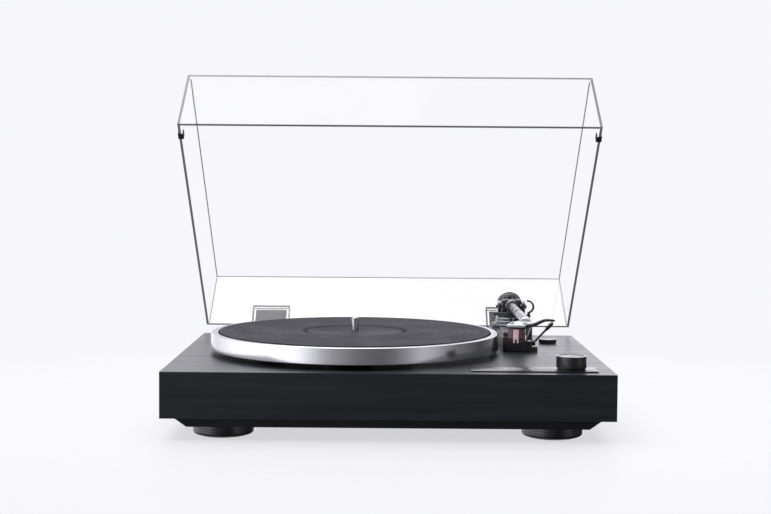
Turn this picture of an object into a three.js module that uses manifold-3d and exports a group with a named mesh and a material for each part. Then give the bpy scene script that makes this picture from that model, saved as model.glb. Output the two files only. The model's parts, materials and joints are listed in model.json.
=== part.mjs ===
// Belt-drive turntable record player with a hinged clear dust cover.
// Millimetres. +Z is up, +X is to the right seen from the front, +Y is to the back.
// The origin is on the floor, under the middle of the open player's bounding box.

import * as THREE from 'three';
import { mergeVertices } from 'three/addons/utils/BufferGeometryUtils.js';
import Module from 'manifold-3d';

const wasm = await Module();
wasm.setup();

// ---------------------------------------------------------------- driving dimensions

const GAP = 0.3; // clearance kept between pieces that touch
const DEG = Math.PI / 180;

const PLINTH = { width: 435, depth: 337.5, height: 44.7, deck: 18, wall: 16 };
const PLINTH_Y = -33.54; // plinth centre behind (+) or in front of (-) the origin
const PLINTH_TOP = 66.4; // plinth top above the floor

const TRAY = { height: 9.5, floor: 2.2, topHalf: 205.5, bottomHalf: 193.5, inset: 8, wall: 5 };
const FOOT = { radius: 30.65, x: 161, yFront: -123.7, yBack: 128, bottom: -65.4, padRadius: 25 };

const SPINDLE = { x: -35.5, y: -2.5, radius: 3.6, shaftRadius: 5, top: 37 };
const PLATTER = { radius: 152.5, bottom: 5.5, top: 22.1, web: 13.4, hollow: 140.5 };
const MAT = { radius: 143.8, top: 23, recess: 21.2, label: 53.5, labelDepth: 0.6 };
const SUB_PLATTER = { radius: 62, bottom: 4.6, top: 12.6, hub: 14 };
const BEARING = { radius: 12, flange: 19, bottom: -42 };
const MOTOR = { x: -120.5, y: 49.5, radius: 18, flange: 27, bottom: -46, pulleyRadius: 9, shaftRadius: 1.5 };
const BELT = { bottom: 6.6, top: 10.6, thickness: 0.7 };

const STRIP = { left: 79, right: 202, front: -154, back: -120, top: 1.2 };
const KNOB = { x: 177.5, y: -137, radius: 14.75, top: 14.4 };

const PIVOT = { x: 140, y: 104, z: 40.5 }; // where the tonearm's two axes cross
const POD = {
  left: 123, right: 149.2, front: 3.2, round: 24.6, top: 16.5, block: 21.5, blockBack: 56, chamfer: 3.6,
};
const COLLAR = { radius: 22.5, top: 24.8, stem: 9.7, bottom: -28 };
const YOKE = { halfGap: 11.5, post: 4, halfDepth: 6, base: 28.2, top: 46.4, stem: 4 };
const TUBE = { radius: 4.6, length: 178 };
const HEAD = { offset: 18, length: 50, halfWidth: 9.5, neckHalf: 5.2, top: 1.9, bottom: -0.9 };
const CARTRIDGE = { halfWidth: 8.4, front: -48.4, back: -20, depth: 13.3 };
const STYLUS = { tipY: -41, tipZ: -17.1 };
const WEIGHT = { radius: 14.6, dial: 12.8, bore: 6.3, front: 27.5, back: 49, dialFront: 19 };

const LIFT = { radius: 30, half: 2.2, from: -6, to: 42, bottom: 32.2, top: 35.5, stem: 2, guide: 4.4 };
const LIFT_GUIDE = { bottom: 16.8, top: 28.7, stemEnd: 24.9 };
const REST = { y: 12, hingeX: 149.6, hingeZ: 38.2, openAngle: 75 };
const CUE = { x: 156.5, y: 12.5, z: 9.4, reach: 20, rise: 22.3 };
const ANTI_SKATE = { x: 180.5, y: 90, radius: 9.9, top: 4.8 };

const COVER = { width: 433.6, depth: 333.2, height: 74.9, wall: 3, draftX: 3.6, draftY: 1.2 };
const COVER_RIM = 1.2; // the closed cover's rim above the plinth top
const HINGE = { x: 141, y: 184.2, z: -18.1, open: 43.8, pin: 2.2, barrel: 6, leafHalf: 18.5 };
const POCKET = { half: 22.6, height: 30.5, depth: 7.4, wall: 3 };
const BUMPER = { fromFront: 14, length: 7, height: 6, skin: 1, grip: 0.8 };

const TERMINALS = { left: 8, right: 102, bottom: -41, top: -20, plate: 1.6 };

// ---------------------------------------------------------------- materials

function material(color, roughness, metalness, extra = {}) {
  return new THREE.MeshStandardMaterial({ color, roughness, metalness, ...extra });
}

const BLACK_ASH = material(0x2a2b2e, 0.55, 0);
const BLACK_PLASTIC = material(0x18191b, 0.45, 0);
const GLOSS_BLACK = material(0x0e0f10, 0.15, 0);
const RUBBER = material(0x55565a, 0.85, 0);
const ALUMINIUM = material(0xb9bbbf, 0.3, 1);
const CHROME = material(0xd8dadd, 0.1, 1);
const STEEL = material(0x9a9ca0, 0.35, 1);
const SILVER_PAINT = material(0xb4b6ba, 0.35, 0.6);
const CLEAR = material(0xf4f6f8, 0.05, 0, { transparent: true, opacity: 0.3 });
const RED_TINT = material(0x5a1a1c, 0.25, 0);
const BOARD = material(0x1f5a35, 0.5, 0);
const BRASS = material(0xb08d45, 0.3, 1);

// ---------------------------------------------------------------- solids

function solid(geometry) {
  const g = geometry.clone();
  g.deleteAttribute('normal');
  g.deleteAttribute('uv');
  const merged = mergeVertices(g, 1e-4);
  const vertProperties = Float32Array.from(merged.attributes.position.array);
  const triVerts = Uint32Array.from(merged.index.array);
  return new wasm.Manifold(new wasm.Mesh({ numProp: 3, vertProperties, triVerts }));
}

function geometryOf(body) {
  const m = body.getMesh();
  const g = new THREE.BufferGeometry();
  g.setAttribute('position', new THREE.BufferAttribute(Float32Array.from(m.vertProperties), 3));
  g.setIndex(new THREE.BufferAttribute(Uint32Array.from(m.triVerts), 1));
  g.computeVertexNormals();
  return g;
}

// A box between two corners.
function block(x0, x1, y0, y1, z0, z1) {
  const g = new THREE.BoxGeometry(x1 - x0, y1 - y0, z1 - z0);
  g.translate((x0 + x1) / 2, (y0 + y1) / 2, (z0 + z1) / 2);
  return solid(g);
}

// A solid turned about a vertical line through (x, y); the profile is [radius, height] pairs.
function turned(profile, x = 0, y = 0, segments = 32) {
  const g = new THREE.LatheGeometry(profile.map(([r, z]) => new THREE.Vector2(r, z)), segments);
  g.rotateX(Math.PI / 2);
  g.translate(x, y, 0);
  return solid(g);
}

function disc(radius, z0, z1, x = 0, y = 0, segments = 32) {
  return turned([[0, z0], [radius, z0], [radius, z1], [0, z1]], x, y, segments);
}

// A round rod from one point to another.
function rod(radius, from, to, segments = 16) {
  const a = new THREE.Vector3(...from);
  const b = new THREE.Vector3(...to);
  const g = new THREE.CylinderGeometry(radius, radius, a.distanceTo(b), segments);
  const along = b.clone().sub(a).normalize();
  g.applyQuaternion(new THREE.Quaternion().setFromUnitVectors(new THREE.Vector3(0, 1, 0), along));
  const middle = a.add(b).multiplyScalar(0.5);
  g.translate(middle.x, middle.y, middle.z);
  return solid(g);
}

// A flat outline in X and Y, raised from z0 to z1.
function raised(shape, z0, z1, curveSegments = 16) {
  const g = new THREE.ExtrudeGeometry(shape, { depth: z1 - z0, bevelEnabled: false, curveSegments });
  g.translate(0, 0, z0);
  return solid(g);
}

// An outline given as [y, z] points, spread along X from x0 to x1.
function profileAlongX(points, x0, x1) {
  const shape = new THREE.Shape(points.map(([y, z]) => new THREE.Vector2(y, z)));
  const g = new THREE.ExtrudeGeometry(shape, { depth: x1 - x0, bevelEnabled: false });
  g.applyMatrix4(new THREE.Matrix4().set(0, 0, 1, x0, 1, 0, 0, 0, 0, 1, 0, 0, 0, 0, 0, 1));
  return solid(g);
}

// An outline given as a shape in X and Z, spread along Y from y0 to y1.
function shapeAlongY(shape, y0, y1, curveSegments = 12) {
  const g = new THREE.ExtrudeGeometry(shape, { depth: y1 - y0, bevelEnabled: false, curveSegments });
  g.rotateX(Math.PI / 2);
  g.translate(0, y1, 0);
  return solid(g);
}

// A solid turned about a line along Y through (x, z); the profile is [radius, y] pairs.
function turnedAlongY(profile, x, z, segments = 24) {
  const g = new THREE.LatheGeometry(profile.map(([r, y]) => new THREE.Vector2(r, y)), segments);
  g.translate(x, 0, z);
  return solid(g);
}

// A four-sided frustum: a rectangle at z0 and another at z1, both centred on the Z axis.
function frustum(halfX0, halfY0, z0, halfX1, halfY1, z1) {
  const g = new THREE.BoxGeometry(2, 2, 1);
  const p = g.attributes.position;
  for (let i = 0; i < p.count; i += 1) {
    const top = p.getZ(i) > 0;
    p.setXYZ(i, p.getX(i) * (top ? halfX1 : halfX0), p.getY(i) * (top ? halfY1 : halfY0), top ? z1 : z0);
  }
  return solid(g);
}

function circle(radius, x = 0, y = 0) {
  const shape = new THREE.Shape();
  shape.absarc(x, y, radius, 0, 2 * Math.PI, false);
  return shape;
}

// ---------------------------------------------------------------- the scene graph

const player = new THREE.Group();
const deck = new THREE.Group(); // origin at the middle of the plinth's top face
deck.position.set(0, PLINTH_Y, PLINTH_TOP);
player.add(deck);

function piece(name, body, look, parent = deck) {
  const mesh = new THREE.Mesh(geometryOf(body), look);
  mesh.name = name;
  parent.add(mesh);
  return mesh;
}

// ---------------------------------------------------------------- plinth, tray and feet

function makePlinth() {
  const { width, depth, height, deck: deckThickness, wall } = PLINTH;
  const x = width / 2;
  const y = depth / 2;
  const t = TERMINALS;
  return block(-x, x, -y, y, -height, 0)
    .subtract(block(-x + wall, x - wall, -y + wall, y - wall, -height - 1, -deckThickness))
    .subtract(disc(BEARING.radius + GAP, -deckThickness - 1, 1, SPINDLE.x, SPINDLE.y, 24))
    .subtract(disc(12, -deckThickness - 1, 1, MOTOR.x, MOTOR.y, 24))
    .subtract(disc(COLLAR.stem + GAP, -deckThickness - 1, 1, PIVOT.x, PIVOT.y, 24))
    .subtract(disc(4.3, -deckThickness - 1, 1, KNOB.x, KNOB.y, 16))
    .subtract(block(t.left - GAP, t.right + GAP, y - 2.2, y + 1, t.bottom - GAP, t.top + GAP))
    .subtract(block(t.left + 4, t.right - 4, y - wall - 1, y, t.bottom + 3, t.top - 3));
}

function makeTray() {
  const top = -PLINTH.height - GAP;
  const bottom = top - TRAY.height;
  const front = PLINTH.depth / 2 - TRAY.inset;
  const chamfer = TRAY.topHalf - TRAY.bottomHalf;
  const outer = frustum(TRAY.bottomHalf, front - 4, bottom, TRAY.topHalf, front, top);
  const hollowX = TRAY.bottomHalf - TRAY.wall;
  const hollowY = front - 4 - TRAY.wall;
  const hollow = frustum(
    hollowX, hollowY, bottom + TRAY.floor, hollowX + chamfer * 0.75, hollowY + 2, top + 1,
  );
  return outer.subtract(hollow);
}

// The foot's side has a groove, a rounded lower edge and a recess for its pad.
function makeFoot(x, y) {
  const r = FOOT.radius;
  const top = -PLINTH.height - TRAY.height - 2 * GAP;
  const b = FOOT.bottom;
  const profile = [
    [0, top], [r - 2.2, top], [r - 2.2, top - 1.6], [r, top - 2.2], [r, b + 2.2],
    [r - 0.7, b + 0.7], [r - 2.2, b], [FOOT.padRadius + GAP, b],
    [FOOT.padRadius + GAP, b + 0.9], [0, b + 0.9],
  ];
  return turned(profile.reverse(), x, y, 28);
}

piece('plinth', makePlinth(), BLACK_ASH);
piece('bottom_tray', makeTray(), BLACK_PLASTIC);
for (const [end, y] of [['front', FOOT.yFront], ['rear', FOOT.yBack]]) {
  for (const [side, x] of [['left', -FOOT.x], ['right', FOOT.x]]) {
    const pad = disc(FOOT.padRadius, -PLINTH_TOP, FOOT.bottom + 0.9 - GAP, x, y, 24);
    piece(`foot_${end}_${side}`, makeFoot(x, y), GLOSS_BLACK);
    piece(`foot_pad_${end}_${side}`, pad, RUBBER);
  }
}

// ---------------------------------------------------------------- drive and platter

function makeBearingHousing() {
  const bore = SPINDLE.shaftRadius + GAP;
  const profile = [
    [0, BEARING.bottom], [BEARING.radius, BEARING.bottom], [BEARING.radius, GAP],
    [BEARING.flange, GAP], [BEARING.flange, 2.8], [bore, 2.8],
    [bore, BEARING.bottom + 4], [0, BEARING.bottom + 4],
  ];
  return turned(profile, SPINDLE.x, SPINDLE.y, 28);
}

function makeSpindle() {
  const thick = SPINDLE.shaftRadius;
  const thin = SPINDLE.radius;
  const profile = [
    [0, BEARING.bottom + 4 + GAP], [thick, BEARING.bottom + 5], [thick, SUB_PLATTER.top],
    [thin, SUB_PLATTER.top], [thin, SPINDLE.top - 2.2], [thin * 0.8, SPINDLE.top - 0.8],
    [thin * 0.4, SPINDLE.top], [0, SPINDLE.top],
  ];
  return turned(profile, SPINDLE.x, SPINDLE.y, 20);
}

function makeSubPlatter() {
  const s = SUB_PLATTER;
  const bore = SPINDLE.shaftRadius + GAP;
  const profile = [
    [bore, s.bottom], [s.hub, s.bottom], [s.hub, s.top - 3], [s.radius - 4, s.top - 3],
    [s.radius - 4, s.bottom], [s.radius, s.bottom], [s.radius, s.top], [bore, s.top],
    [bore, s.bottom],
  ];
  return turned(profile, SPINDLE.x, SPINDLE.y, 40);
}

function makePlatter() {
  const p = PLATTER;
  const bore = SPINDLE.radius + GAP;
  const profile = [
    [bore, p.web], [p.hollow, p.web], [p.hollow, p.bottom], [p.radius - 0.6, p.bottom],
    [p.radius, p.bottom + 0.6], [p.radius, p.top - 0.8], [p.radius - 0.8, p.top],
    [MAT.radius + GAP, p.top], [MAT.radius + GAP, MAT.recess - GAP], [bore, MAT.recess - GAP],
    [bore, p.web],
  ];
  return turned(profile, SPINDLE.x, SPINDLE.y, 64);
}

function makeMat() {
  const bore = SPINDLE.radius + GAP;
  const dip = MAT.top - MAT.labelDepth;
  const profile = [
    [bore, MAT.recess], [MAT.radius, MAT.recess], [MAT.radius, MAT.top - 0.5],
    [MAT.radius - 0.5, MAT.top], [MAT.label, MAT.top], [MAT.label, dip], [bore, dip],
    [bore, MAT.recess],
  ];
  return turned(profile, SPINDLE.x, SPINDLE.y, 64);
}

// The motor and the round flange that hangs it from the deck, with a bore for the pulley's shaft.
function makeMotor() {
  const bore = MOTOR.shaftRadius + GAP;
  const top = -PLINTH.deck - GAP;
  const under = top - 1.7;
  const profile = [
    [0, MOTOR.bottom], [MOTOR.radius - 1.5, MOTOR.bottom], [MOTOR.radius, MOTOR.bottom + 1.5],
    [MOTOR.radius, under], [MOTOR.flange, under], [MOTOR.flange, top], [6, top],
    [6, under - 0.5], [bore, under - 0.5], [bore, MOTOR.bottom + 8], [0, MOTOR.bottom + 8],
  ];
  return turned(profile, MOTOR.x, MOTOR.y, 28);
}

// The pulley and the motor's shaft, with a flange above and below the belt.
function makePulley() {
  const r = MOTOR.pulleyRadius;
  const shaft = MOTOR.shaftRadius;
  const profile = [
    [0, MOTOR.bottom + 9], [shaft, MOTOR.bottom + 9], [shaft, 3.4], [r + 1.4, 3.4],
    [r + 1.4, 4.8], [r, BELT.bottom - 0.6], [r, BELT.top + 0.4], [r + 1.4, BELT.top + 1],
    [r + 1.4, PLATTER.web - 0.8], [0, PLATTER.web - 0.8],
  ];
  return turned(profile, MOTOR.x, MOTOR.y, 20);
}

// The belt's outline runs round both wheels and straight along their outer tangents.
function beltOutline(extra) {
  const dx = MOTOR.x - SPINDLE.x;
  const dy = MOTOR.y - SPINDLE.y;
  const toMotor = Math.atan2(dy, dx);
  const tangent = Math.acos((SUB_PLATTER.radius - MOTOR.pulleyRadius) / Math.hypot(dx, dy));
  const shape = new THREE.Shape();
  const big = SUB_PLATTER.radius + extra;
  const small = MOTOR.pulleyRadius + extra;
  shape.absarc(SPINDLE.x, SPINDLE.y, big, toMotor + tangent, toMotor - tangent + 2 * Math.PI, false);
  shape.absarc(MOTOR.x, MOTOR.y, small, toMotor - tangent, toMotor + tangent, false);
  return shape;
}

function makeBelt() {
  const outer = raised(beltOutline(GAP + BELT.thickness), BELT.bottom, BELT.top, 20);
  return outer.subtract(raised(beltOutline(GAP), BELT.bottom - 1, BELT.top + 1, 20));
}

piece('bearing_housing', makeBearingHousing(), BRASS);
piece('spindle', makeSpindle(), CHROME);
piece('sub_platter', makeSubPlatter(), BLACK_PLASTIC);
piece('platter', makePlatter(), ALUMINIUM);
piece('platter_mat', makeMat(), RUBBER);
piece('motor', makeMotor(), STEEL);
piece('motor_pulley', makePulley(), BRASS);
piece('drive_belt', makeBelt(), RUBBER);

// ---------------------------------------------------------------- control strip and knob

function makeStrip() {
  const s = STRIP;
  return block(s.left, s.right, s.front, s.back, GAP, s.top)
    .subtract(disc(4.3, -1, 3, KNOB.x, KNOB.y, 16));
}

// The knob's top is slightly dished, and a short groove in its edge is the pointer.
function makeKnob() {
  const r = KNOB.radius;
  const t = KNOB.top;
  const b = STRIP.top + GAP;
  const profile = [
    [0, b], [r - 0.8, b], [r - 0.8, b + 1.2], [r, b + 1.8], [r, t - 0.6], [r - 0.6, t],
    [r - 1.8, t], [r - 4, t - 0.7], [0, t - 0.9],
  ];
  return turned(profile, KNOB.x, KNOB.y, 32)
    .subtract(disc(2.8, b - 1, b + 8, KNOB.x, KNOB.y, 16))
    .subtract(block(KNOB.x - 0.6, KNOB.x + 0.6, KNOB.y - r - 1, KNOB.y - r + 5, t - 1.4, t + 1));
}

piece('control_strip', makeStrip(), BLACK_PLASTIC);
piece('speed_knob', makeKnob(), BLACK_PLASTIC);
piece('knob_shaft', disc(2.5, -24, STRIP.top + 7, KNOB.x, KNOB.y, 16), STEEL);

function makeSwitch() {
  const top = -PLINTH.deck - GAP;
  return block(KNOB.x - 9, KNOB.x + 9, KNOB.y - 9, KNOB.y + 9, top - 14, top)
    .subtract(disc(2.9, top - 8, top + 1, KNOB.x, KNOB.y, 16));
}

piece('rotary_switch', makeSwitch(), BLACK_PLASTIC);

// ---------------------------------------------------------------- tonearm base

function podOutline() {
  const { left, right, front, round, chamfer } = POD;
  const joinLeft = Math.acos((PIVOT.x - left) / round);
  const joinRight = Math.acos((right - PIVOT.x) / round);
  const shape = new THREE.Shape();
  shape.moveTo(left + chamfer, front);
  shape.lineTo(right - 2, front);
  shape.lineTo(right, front + 2);
  shape.absarc(PIVOT.x, PIVOT.y, round, -joinRight, Math.PI + joinLeft, false);
  shape.lineTo(left, front + chamfer);
  return shape;
}

// The pod is round under the arm's collar; its raised front block carries the lift platform's guide.
function makePod() {
  const { left, right, front, top, block: blockTop, blockBack, chamfer } = POD;
  const raisedPart = new THREE.Shape();
  raisedPart.moveTo(left + 0.6 + chamfer, front + 0.6);
  raisedPart.lineTo(right - 0.6, front + 0.6);
  raisedPart.lineTo(right - 0.6, blockBack);
  raisedPart.lineTo(left + 0.6, blockBack);
  raisedPart.lineTo(left + 0.6, front + 0.6 + chamfer);
  return raised(podOutline(), GAP, top, 18)
    .add(raised(raisedPart, top - 1, blockTop, 1))
    .subtract(disc(COLLAR.stem + GAP, -1, top + 1, PIVOT.x, PIVOT.y, 24));
}

function makeCollar() {
  const bore = YOKE.stem + GAP;
  const c = COLLAR;
  const profile = [
    [bore, c.bottom], [c.stem, c.bottom], [c.stem, POD.top + GAP], [c.radius, POD.top + GAP],
    [c.radius, c.top - 4.4], [c.radius - 1, c.top - 3.4], [c.radius - 5, c.top - 3.4],
    [c.radius - 5, c.top], [bore, c.top], [bore, c.bottom],
  ];
  return turned(profile, PIVOT.x, PIVOT.y, 28);
}

// A square guide on the pod, open at the top, so that the platform's stem can't turn in it.
function makeLiftGuide() {
  const { stem, guide, radius } = LIFT;
  const { bottom, top } = LIFT_GUIDE;
  const y = PIVOT.y - radius;
  const hole = stem + GAP;
  return block(PIVOT.x - guide, PIVOT.x + guide, y - guide, y + guide, bottom, top)
    .subtract(block(PIVOT.x - hole, PIVOT.x + hole, y - hole, y + hole, bottom - 1, top + 1));
}

// Lift platform: an arc about the tonearm's upright axis, on a square stem that slides in the guide.
function makeLiftBar() {
  const from = -Math.PI / 2 - LIFT.to * DEG;
  const to = -Math.PI / 2 - LIFT.from * DEG;
  const shape = new THREE.Shape();
  shape.absarc(PIVOT.x, PIVOT.y, LIFT.radius + LIFT.half, from, to, false);
  shape.absarc(PIVOT.x, PIVOT.y, LIFT.radius - LIFT.half, to, from, true);
  const y = PIVOT.y - LIFT.radius;
  const { stem, bottom, top } = LIFT;
  return raised(shape, bottom, top, 12)
    .add(block(PIVOT.x - stem, PIVOT.x + stem, y - stem, y + stem, LIFT_GUIDE.stemEnd, bottom + 1));
}

piece('tonearm_base', makePod(), BLACK_PLASTIC);
piece('tonearm_collar', makeCollar(), SILVER_PAINT);
piece('lift_guide', makeLiftGuide(), BLACK_PLASTIC);
piece('cue_lift_bar', makeLiftBar(), BLACK_PLASTIC);

// ---------------------------------------------------------------- arm rest and cue lever

function makeRestPost() {
  const z0 = POD.block + GAP;
  const saddle = PIVOT.z - TUBE.radius - GAP;
  const { y, hingeX, hingeZ } = REST;
  const lugs = block(hingeX - 2, hingeX + 2, y - 4.5, y + 4.5, saddle - 3, hingeZ)
    .add(rod(2, [hingeX, y - 4.5, hingeZ], [hingeX, y + 4.5, hingeZ], 16))
    .subtract(block(hingeX - 3, hingeX + 3, y - 2.5, y + 2.5, saddle + 0.1, hingeZ + 3))
    .subtract(rod(1.2, [hingeX, y - 6, hingeZ], [hingeX, y + 6, hingeZ], 12));
  return rod(3.4, [PIVOT.x, y, z0], [PIVOT.x, y, saddle - 1], 20)
    .add(block(PIVOT.x - 6, hingeX + 2, y - 4.5, y + 4.5, saddle - 3, saddle))
    .add(lugs);
}

// The clip is drawn closed over the tube, and its group then turns it open.
function makeRestClip() {
  const { hingeX, hingeZ } = REST;
  const cx = PIVOT.x - hingeX;
  const cz = PIVOT.z - hingeZ;
  const hook = new THREE.Shape();
  hook.absarc(cx, cz, TUBE.radius + 2.6, 0, Math.PI * 0.95, false);
  hook.absarc(cx, cz, TUBE.radius + 0.8, Math.PI * 0.95, 0, true);
  return shapeAlongY(hook, -2.1, 2.1, 9)
    .add(block(cx + TUBE.radius + 1, 1.4, -2.1, 2.1, cz - 1.6, cz + 0.6))
    .add(block(-1.4, 1.4, -2.1, 2.1, -1, cz))
    .add(rod(1.9, [0, -2.1, 0], [0, 2.1, 0], 16))
    .add(rod(0.9, [0, -4, 0], [0, 4, 0], 12));
}

const clipGroup = new THREE.Group();
clipGroup.position.set(REST.hingeX, REST.y, REST.hingeZ);
clipGroup.rotation.y = REST.openAngle * DEG;
deck.add(clipGroup);
piece('arm_rest', makeRestPost(), BLACK_PLASTIC);
piece('arm_rest_clip', makeRestClip(), BLACK_PLASTIC, clipGroup);

function makeCueBase() {
  const { x, y, z } = CUE;
  return block(x - 6.8, x - 2.6, y - 7, y + 7, GAP, z + 2)
    .add(block(x - 6.8, x + 3.6, y - 7, y + 7, GAP, z - 4))
    .subtract(rod(1.5, [x - 8, y, z], [x, y, z], 14));
}

function makeCueLever() {
  const { x, y, z, reach, rise } = CUE;
  const tip = [x + reach, y - 3, z + rise];
  const grip = [x + reach * 0.62, y - 3 * 0.62, z + rise * 0.62];
  return rod(1.2, [x - 6.5, y, z], [x, y, z], 14)
    .add(rod(3, [x - 2.2, y, z], [x + 1.6, y, z], 18))
    .add(rod(1.2, [x, y, z], tip, 12))
    .add(rod(1.9, grip, tip, 14));
}

piece('cue_lever_base', makeCueBase(), BLACK_PLASTIC);
piece('cue_lever', makeCueLever(), BLACK_PLASTIC);

function makeAntiSkateDial() {
  const { x, y, radius, top } = ANTI_SKATE;
  const profile = [
    [0, GAP], [radius - 0.6, GAP], [radius, GAP + 0.6], [radius, top - 0.5],
    [radius - 0.5, top], [0, top],
  ];
  return turned(profile, x, y, 32)
    .subtract(block(x - 0.5, x + 0.5, y - radius - 1, y - radius + 5, top - 0.7, top + 1));
}

piece('anti_skate_dial', makeAntiSkateDial(), BLACK_PLASTIC);

// ---------------------------------------------------------------- tonearm

const arm = new THREE.Group(); // origin where the arm's two axes cross
arm.position.set(PIVOT.x, PIVOT.y, PIVOT.z);
deck.add(arm);

function makeYoke() {
  const y = YOKE;
  const outer = y.halfGap + y.post;
  const base = y.base - PIVOT.z;
  const top = y.top - PIVOT.z;
  const under = COLLAR.top + GAP - PIVOT.z;
  const holes = rod(1.9, [-outer - 1, 0, 0], [outer + 1, 0, 0], 16);
  const gap = block(-y.halfGap, y.halfGap, -20, 20, base, top + 10);
  const posts = block(-outer, outer, -y.halfDepth, y.halfDepth, under + 1, top - 3)
    .add(block(-outer, outer, -y.halfDepth + 2, y.halfDepth - 2, under + 1, top));
  return disc(outer + 1.5, under, base, 0, 0, 32)
    .add(posts)
    .subtract(gap)
    .subtract(holes)
    .add(disc(y.stem, -PIVOT.z + 2, base - 1, 0, 0, 18));
}

function makePivotScrew(side) {
  const outer = YOKE.halfGap + YOKE.post;
  return rod(1.5, [side * 8.4, 0, 0], [side * (outer + 1), 0, 0], 14)
    .add(rod(3, [side * (outer + GAP), 0, 0], [side * (outer + 2), 0, 0], 20));
}

// The block between the yoke's posts, with the counterweight's shaft behind it.
function makePivotBlock() {
  const half = YOKE.halfGap - 1.1;
  return block(-half, half, -8, 8, -7.5, 7.5)
    .add(rod(3.4, [0, 7, 0], [0, 54, 0], 18))
    .subtract(rod(1.9, [-half - 1, 0, 0], [-8, 0, 0], 14))
    .subtract(rod(1.9, [half + 1, 0, 0], [8, 0, 0], 14));
}

// The tube is hollow, for the signal wires.
function makeTube() {
  const front = -TUBE.length + 0.1;
  const back = -8 - GAP;
  return rod(TUBE.radius, [0, front, 0], [0, back, 0], 24)
    .subtract(rod(TUBE.radius - 1.1, [0, front - 1, 0], [0, back + 1, 0], 16));
}

piece('arm_yoke', makeYoke(), BLACK_PLASTIC, arm);
piece('pivot_screw_left', makePivotScrew(-1), CHROME, arm);
piece('pivot_screw_right', makePivotScrew(1), CHROME, arm);
piece('pivot_block', makePivotBlock(), BLACK_PLASTIC, arm);
piece('arm_tube', makeTube(), ALUMINIUM, arm);

// ---------------------------------------------------------------- counterweight

const W = WEIGHT;
const sleeveRadius = W.bore - GAP;
const sleeve = turnedAlongY([[3.7, 20], [sleeveRadius, 20], [sleeveRadius, 50], [3.7, 50], [3.7, 20]], 0, 0, 20);
const weightProfile = [
  [W.bore, W.front], [W.radius - 0.8, W.front], [W.radius, W.front + 0.8], [W.radius, W.back - 1.2],
  [W.radius - 1.2, W.back], [W.bore, W.back], [W.bore, W.front],
];
const dialProfile = [
  [W.bore, W.dialFront], [W.dial - 2.6, W.dialFront], [W.dial, W.dialFront + 2],
  [W.dial, W.front - GAP], [W.bore, W.front - GAP], [W.bore, W.dialFront],
];
piece('counterweight_sleeve', sleeve, BLACK_PLASTIC, arm);
piece('counterweight', turnedAlongY(weightProfile, 0, 0, 28), SILVER_PAINT, arm);
piece('tracking_force_dial', turnedAlongY(dialProfile, 0, 0, 28), BLACK_PLASTIC, arm);

// ---------------------------------------------------------------- headshell and cartridge

const head = new THREE.Group(); // origin on the arm's axis at the end of the tube
head.position.set(0, -TUBE.length, 0);
head.rotation.z = -HEAD.offset * DEG;
arm.add(head);

function makeHeadshell() {
  const { length, halfWidth, neckHalf, top, bottom } = HEAD;
  const shape = new THREE.Shape();
  shape.moveTo(-halfWidth + 1, -length);
  shape.lineTo(halfWidth - 1, -length);
  shape.lineTo(halfWidth, -length + 1);
  shape.lineTo(halfWidth, -length + 30);
  shape.lineTo(neckHalf, -8);
  shape.lineTo(-neckHalf, -8);
  shape.lineTo(-halfWidth, -length + 30);
  shape.lineTo(-halfWidth, -length + 1);
  return raised(shape, bottom, top)
    .add(rod(TUBE.radius + 0.9, [0, -2.2, 0], [0, -11, 0], 24));
}

// The cartridge's underside slopes up towards the arm's tube.
function makeCartridge() {
  const { halfWidth, front, back, depth } = CARTRIDGE;
  const top = HEAD.bottom - GAP;
  const outline = [
    [front, top], [front + 1, -depth + 0.6], [front + 3, -depth],
    [front + 8, -depth], [back, -7], [back, top],
  ];
  return profileAlongX(outline, -halfWidth, halfWidth);
}

// The stylus holder, its cantilever and the tip, which is the lowest point of the arm.
function makeStylus() {
  const { tipY, tipZ } = STYLUS;
  const z = -CARTRIDGE.depth - GAP;
  const front = CARTRIDGE.front + 3;
  return profileAlongX([[front, z], [front + 1, z - 1.6], [front + 3.6, z - 1.6], [front + 5, z]], -3.4, 3.4)
    .add(rod(0.5, [0, front + 3, z - 0.9], [0, tipY, tipZ + 0.75], 8))
    .add(rod(0.4, [0, tipY - 0.3, tipZ + 1.2], [0, tipY - 0.3, tipZ], 8));
}

// The finger lift is a flat strip that runs out from the headshell's side and curves up.
function makeFingerLift() {
  const path = new THREE.CatmullRomCurve3([
    new THREE.Vector3(HEAD.halfWidth + GAP, -41, 0.4),
    new THREE.Vector3(HEAD.halfWidth + 8, -40, 1.4),
    new THREE.Vector3(HEAD.halfWidth + 15, -39, 4.6),
    new THREE.Vector3(HEAD.halfWidth + 20, -38.5, 6.4),
    new THREE.Vector3(HEAD.halfWidth + 27, -38, 5.6),
  ]);
  const section = new THREE.Shape();
  section.moveTo(-0.6, -2);
  section.lineTo(0.6, -2);
  section.lineTo(0.6, 2);
  section.lineTo(-0.6, 2);
  return solid(new THREE.ExtrudeGeometry(section, { steps: 14, bevelEnabled: false, extrudePath: path }));
}

piece('headshell', makeHeadshell(), SILVER_PAINT, head);
piece('finger_lift', makeFingerLift(), BLACK_PLASTIC, head);
piece('cartridge', makeCartridge(), RED_TINT, head);
piece('stylus', makeStylus(), BLACK_PLASTIC, head);

// ---------------------------------------------------------------- electronics and terminals

const backFace = PLINTH.depth / 2;

function makeTerminalPlate() {
  const t = TERMINALS;
  const y = backFace - 2.2 + GAP;
  const zMid = (t.bottom + t.top) / 2;
  return block(t.left, t.right, y, y + t.plate, t.bottom, t.top)
    .subtract(rod(4.6, [24, y - 1, zMid], [24, y + 3, zMid], 20))
    .subtract(rod(4.6, [42, y - 1, zMid], [42, y + 3, zMid], 20))
    .subtract(rod(2.6, [60, y - 1, zMid], [60, y + 3, zMid], 16))
    .subtract(block(80, 91, y - 1, y + 3, zMid - 6, zMid + 6));
}

const terminalZ = (TERMINALS.bottom + TERMINALS.top) / 2;

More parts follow.
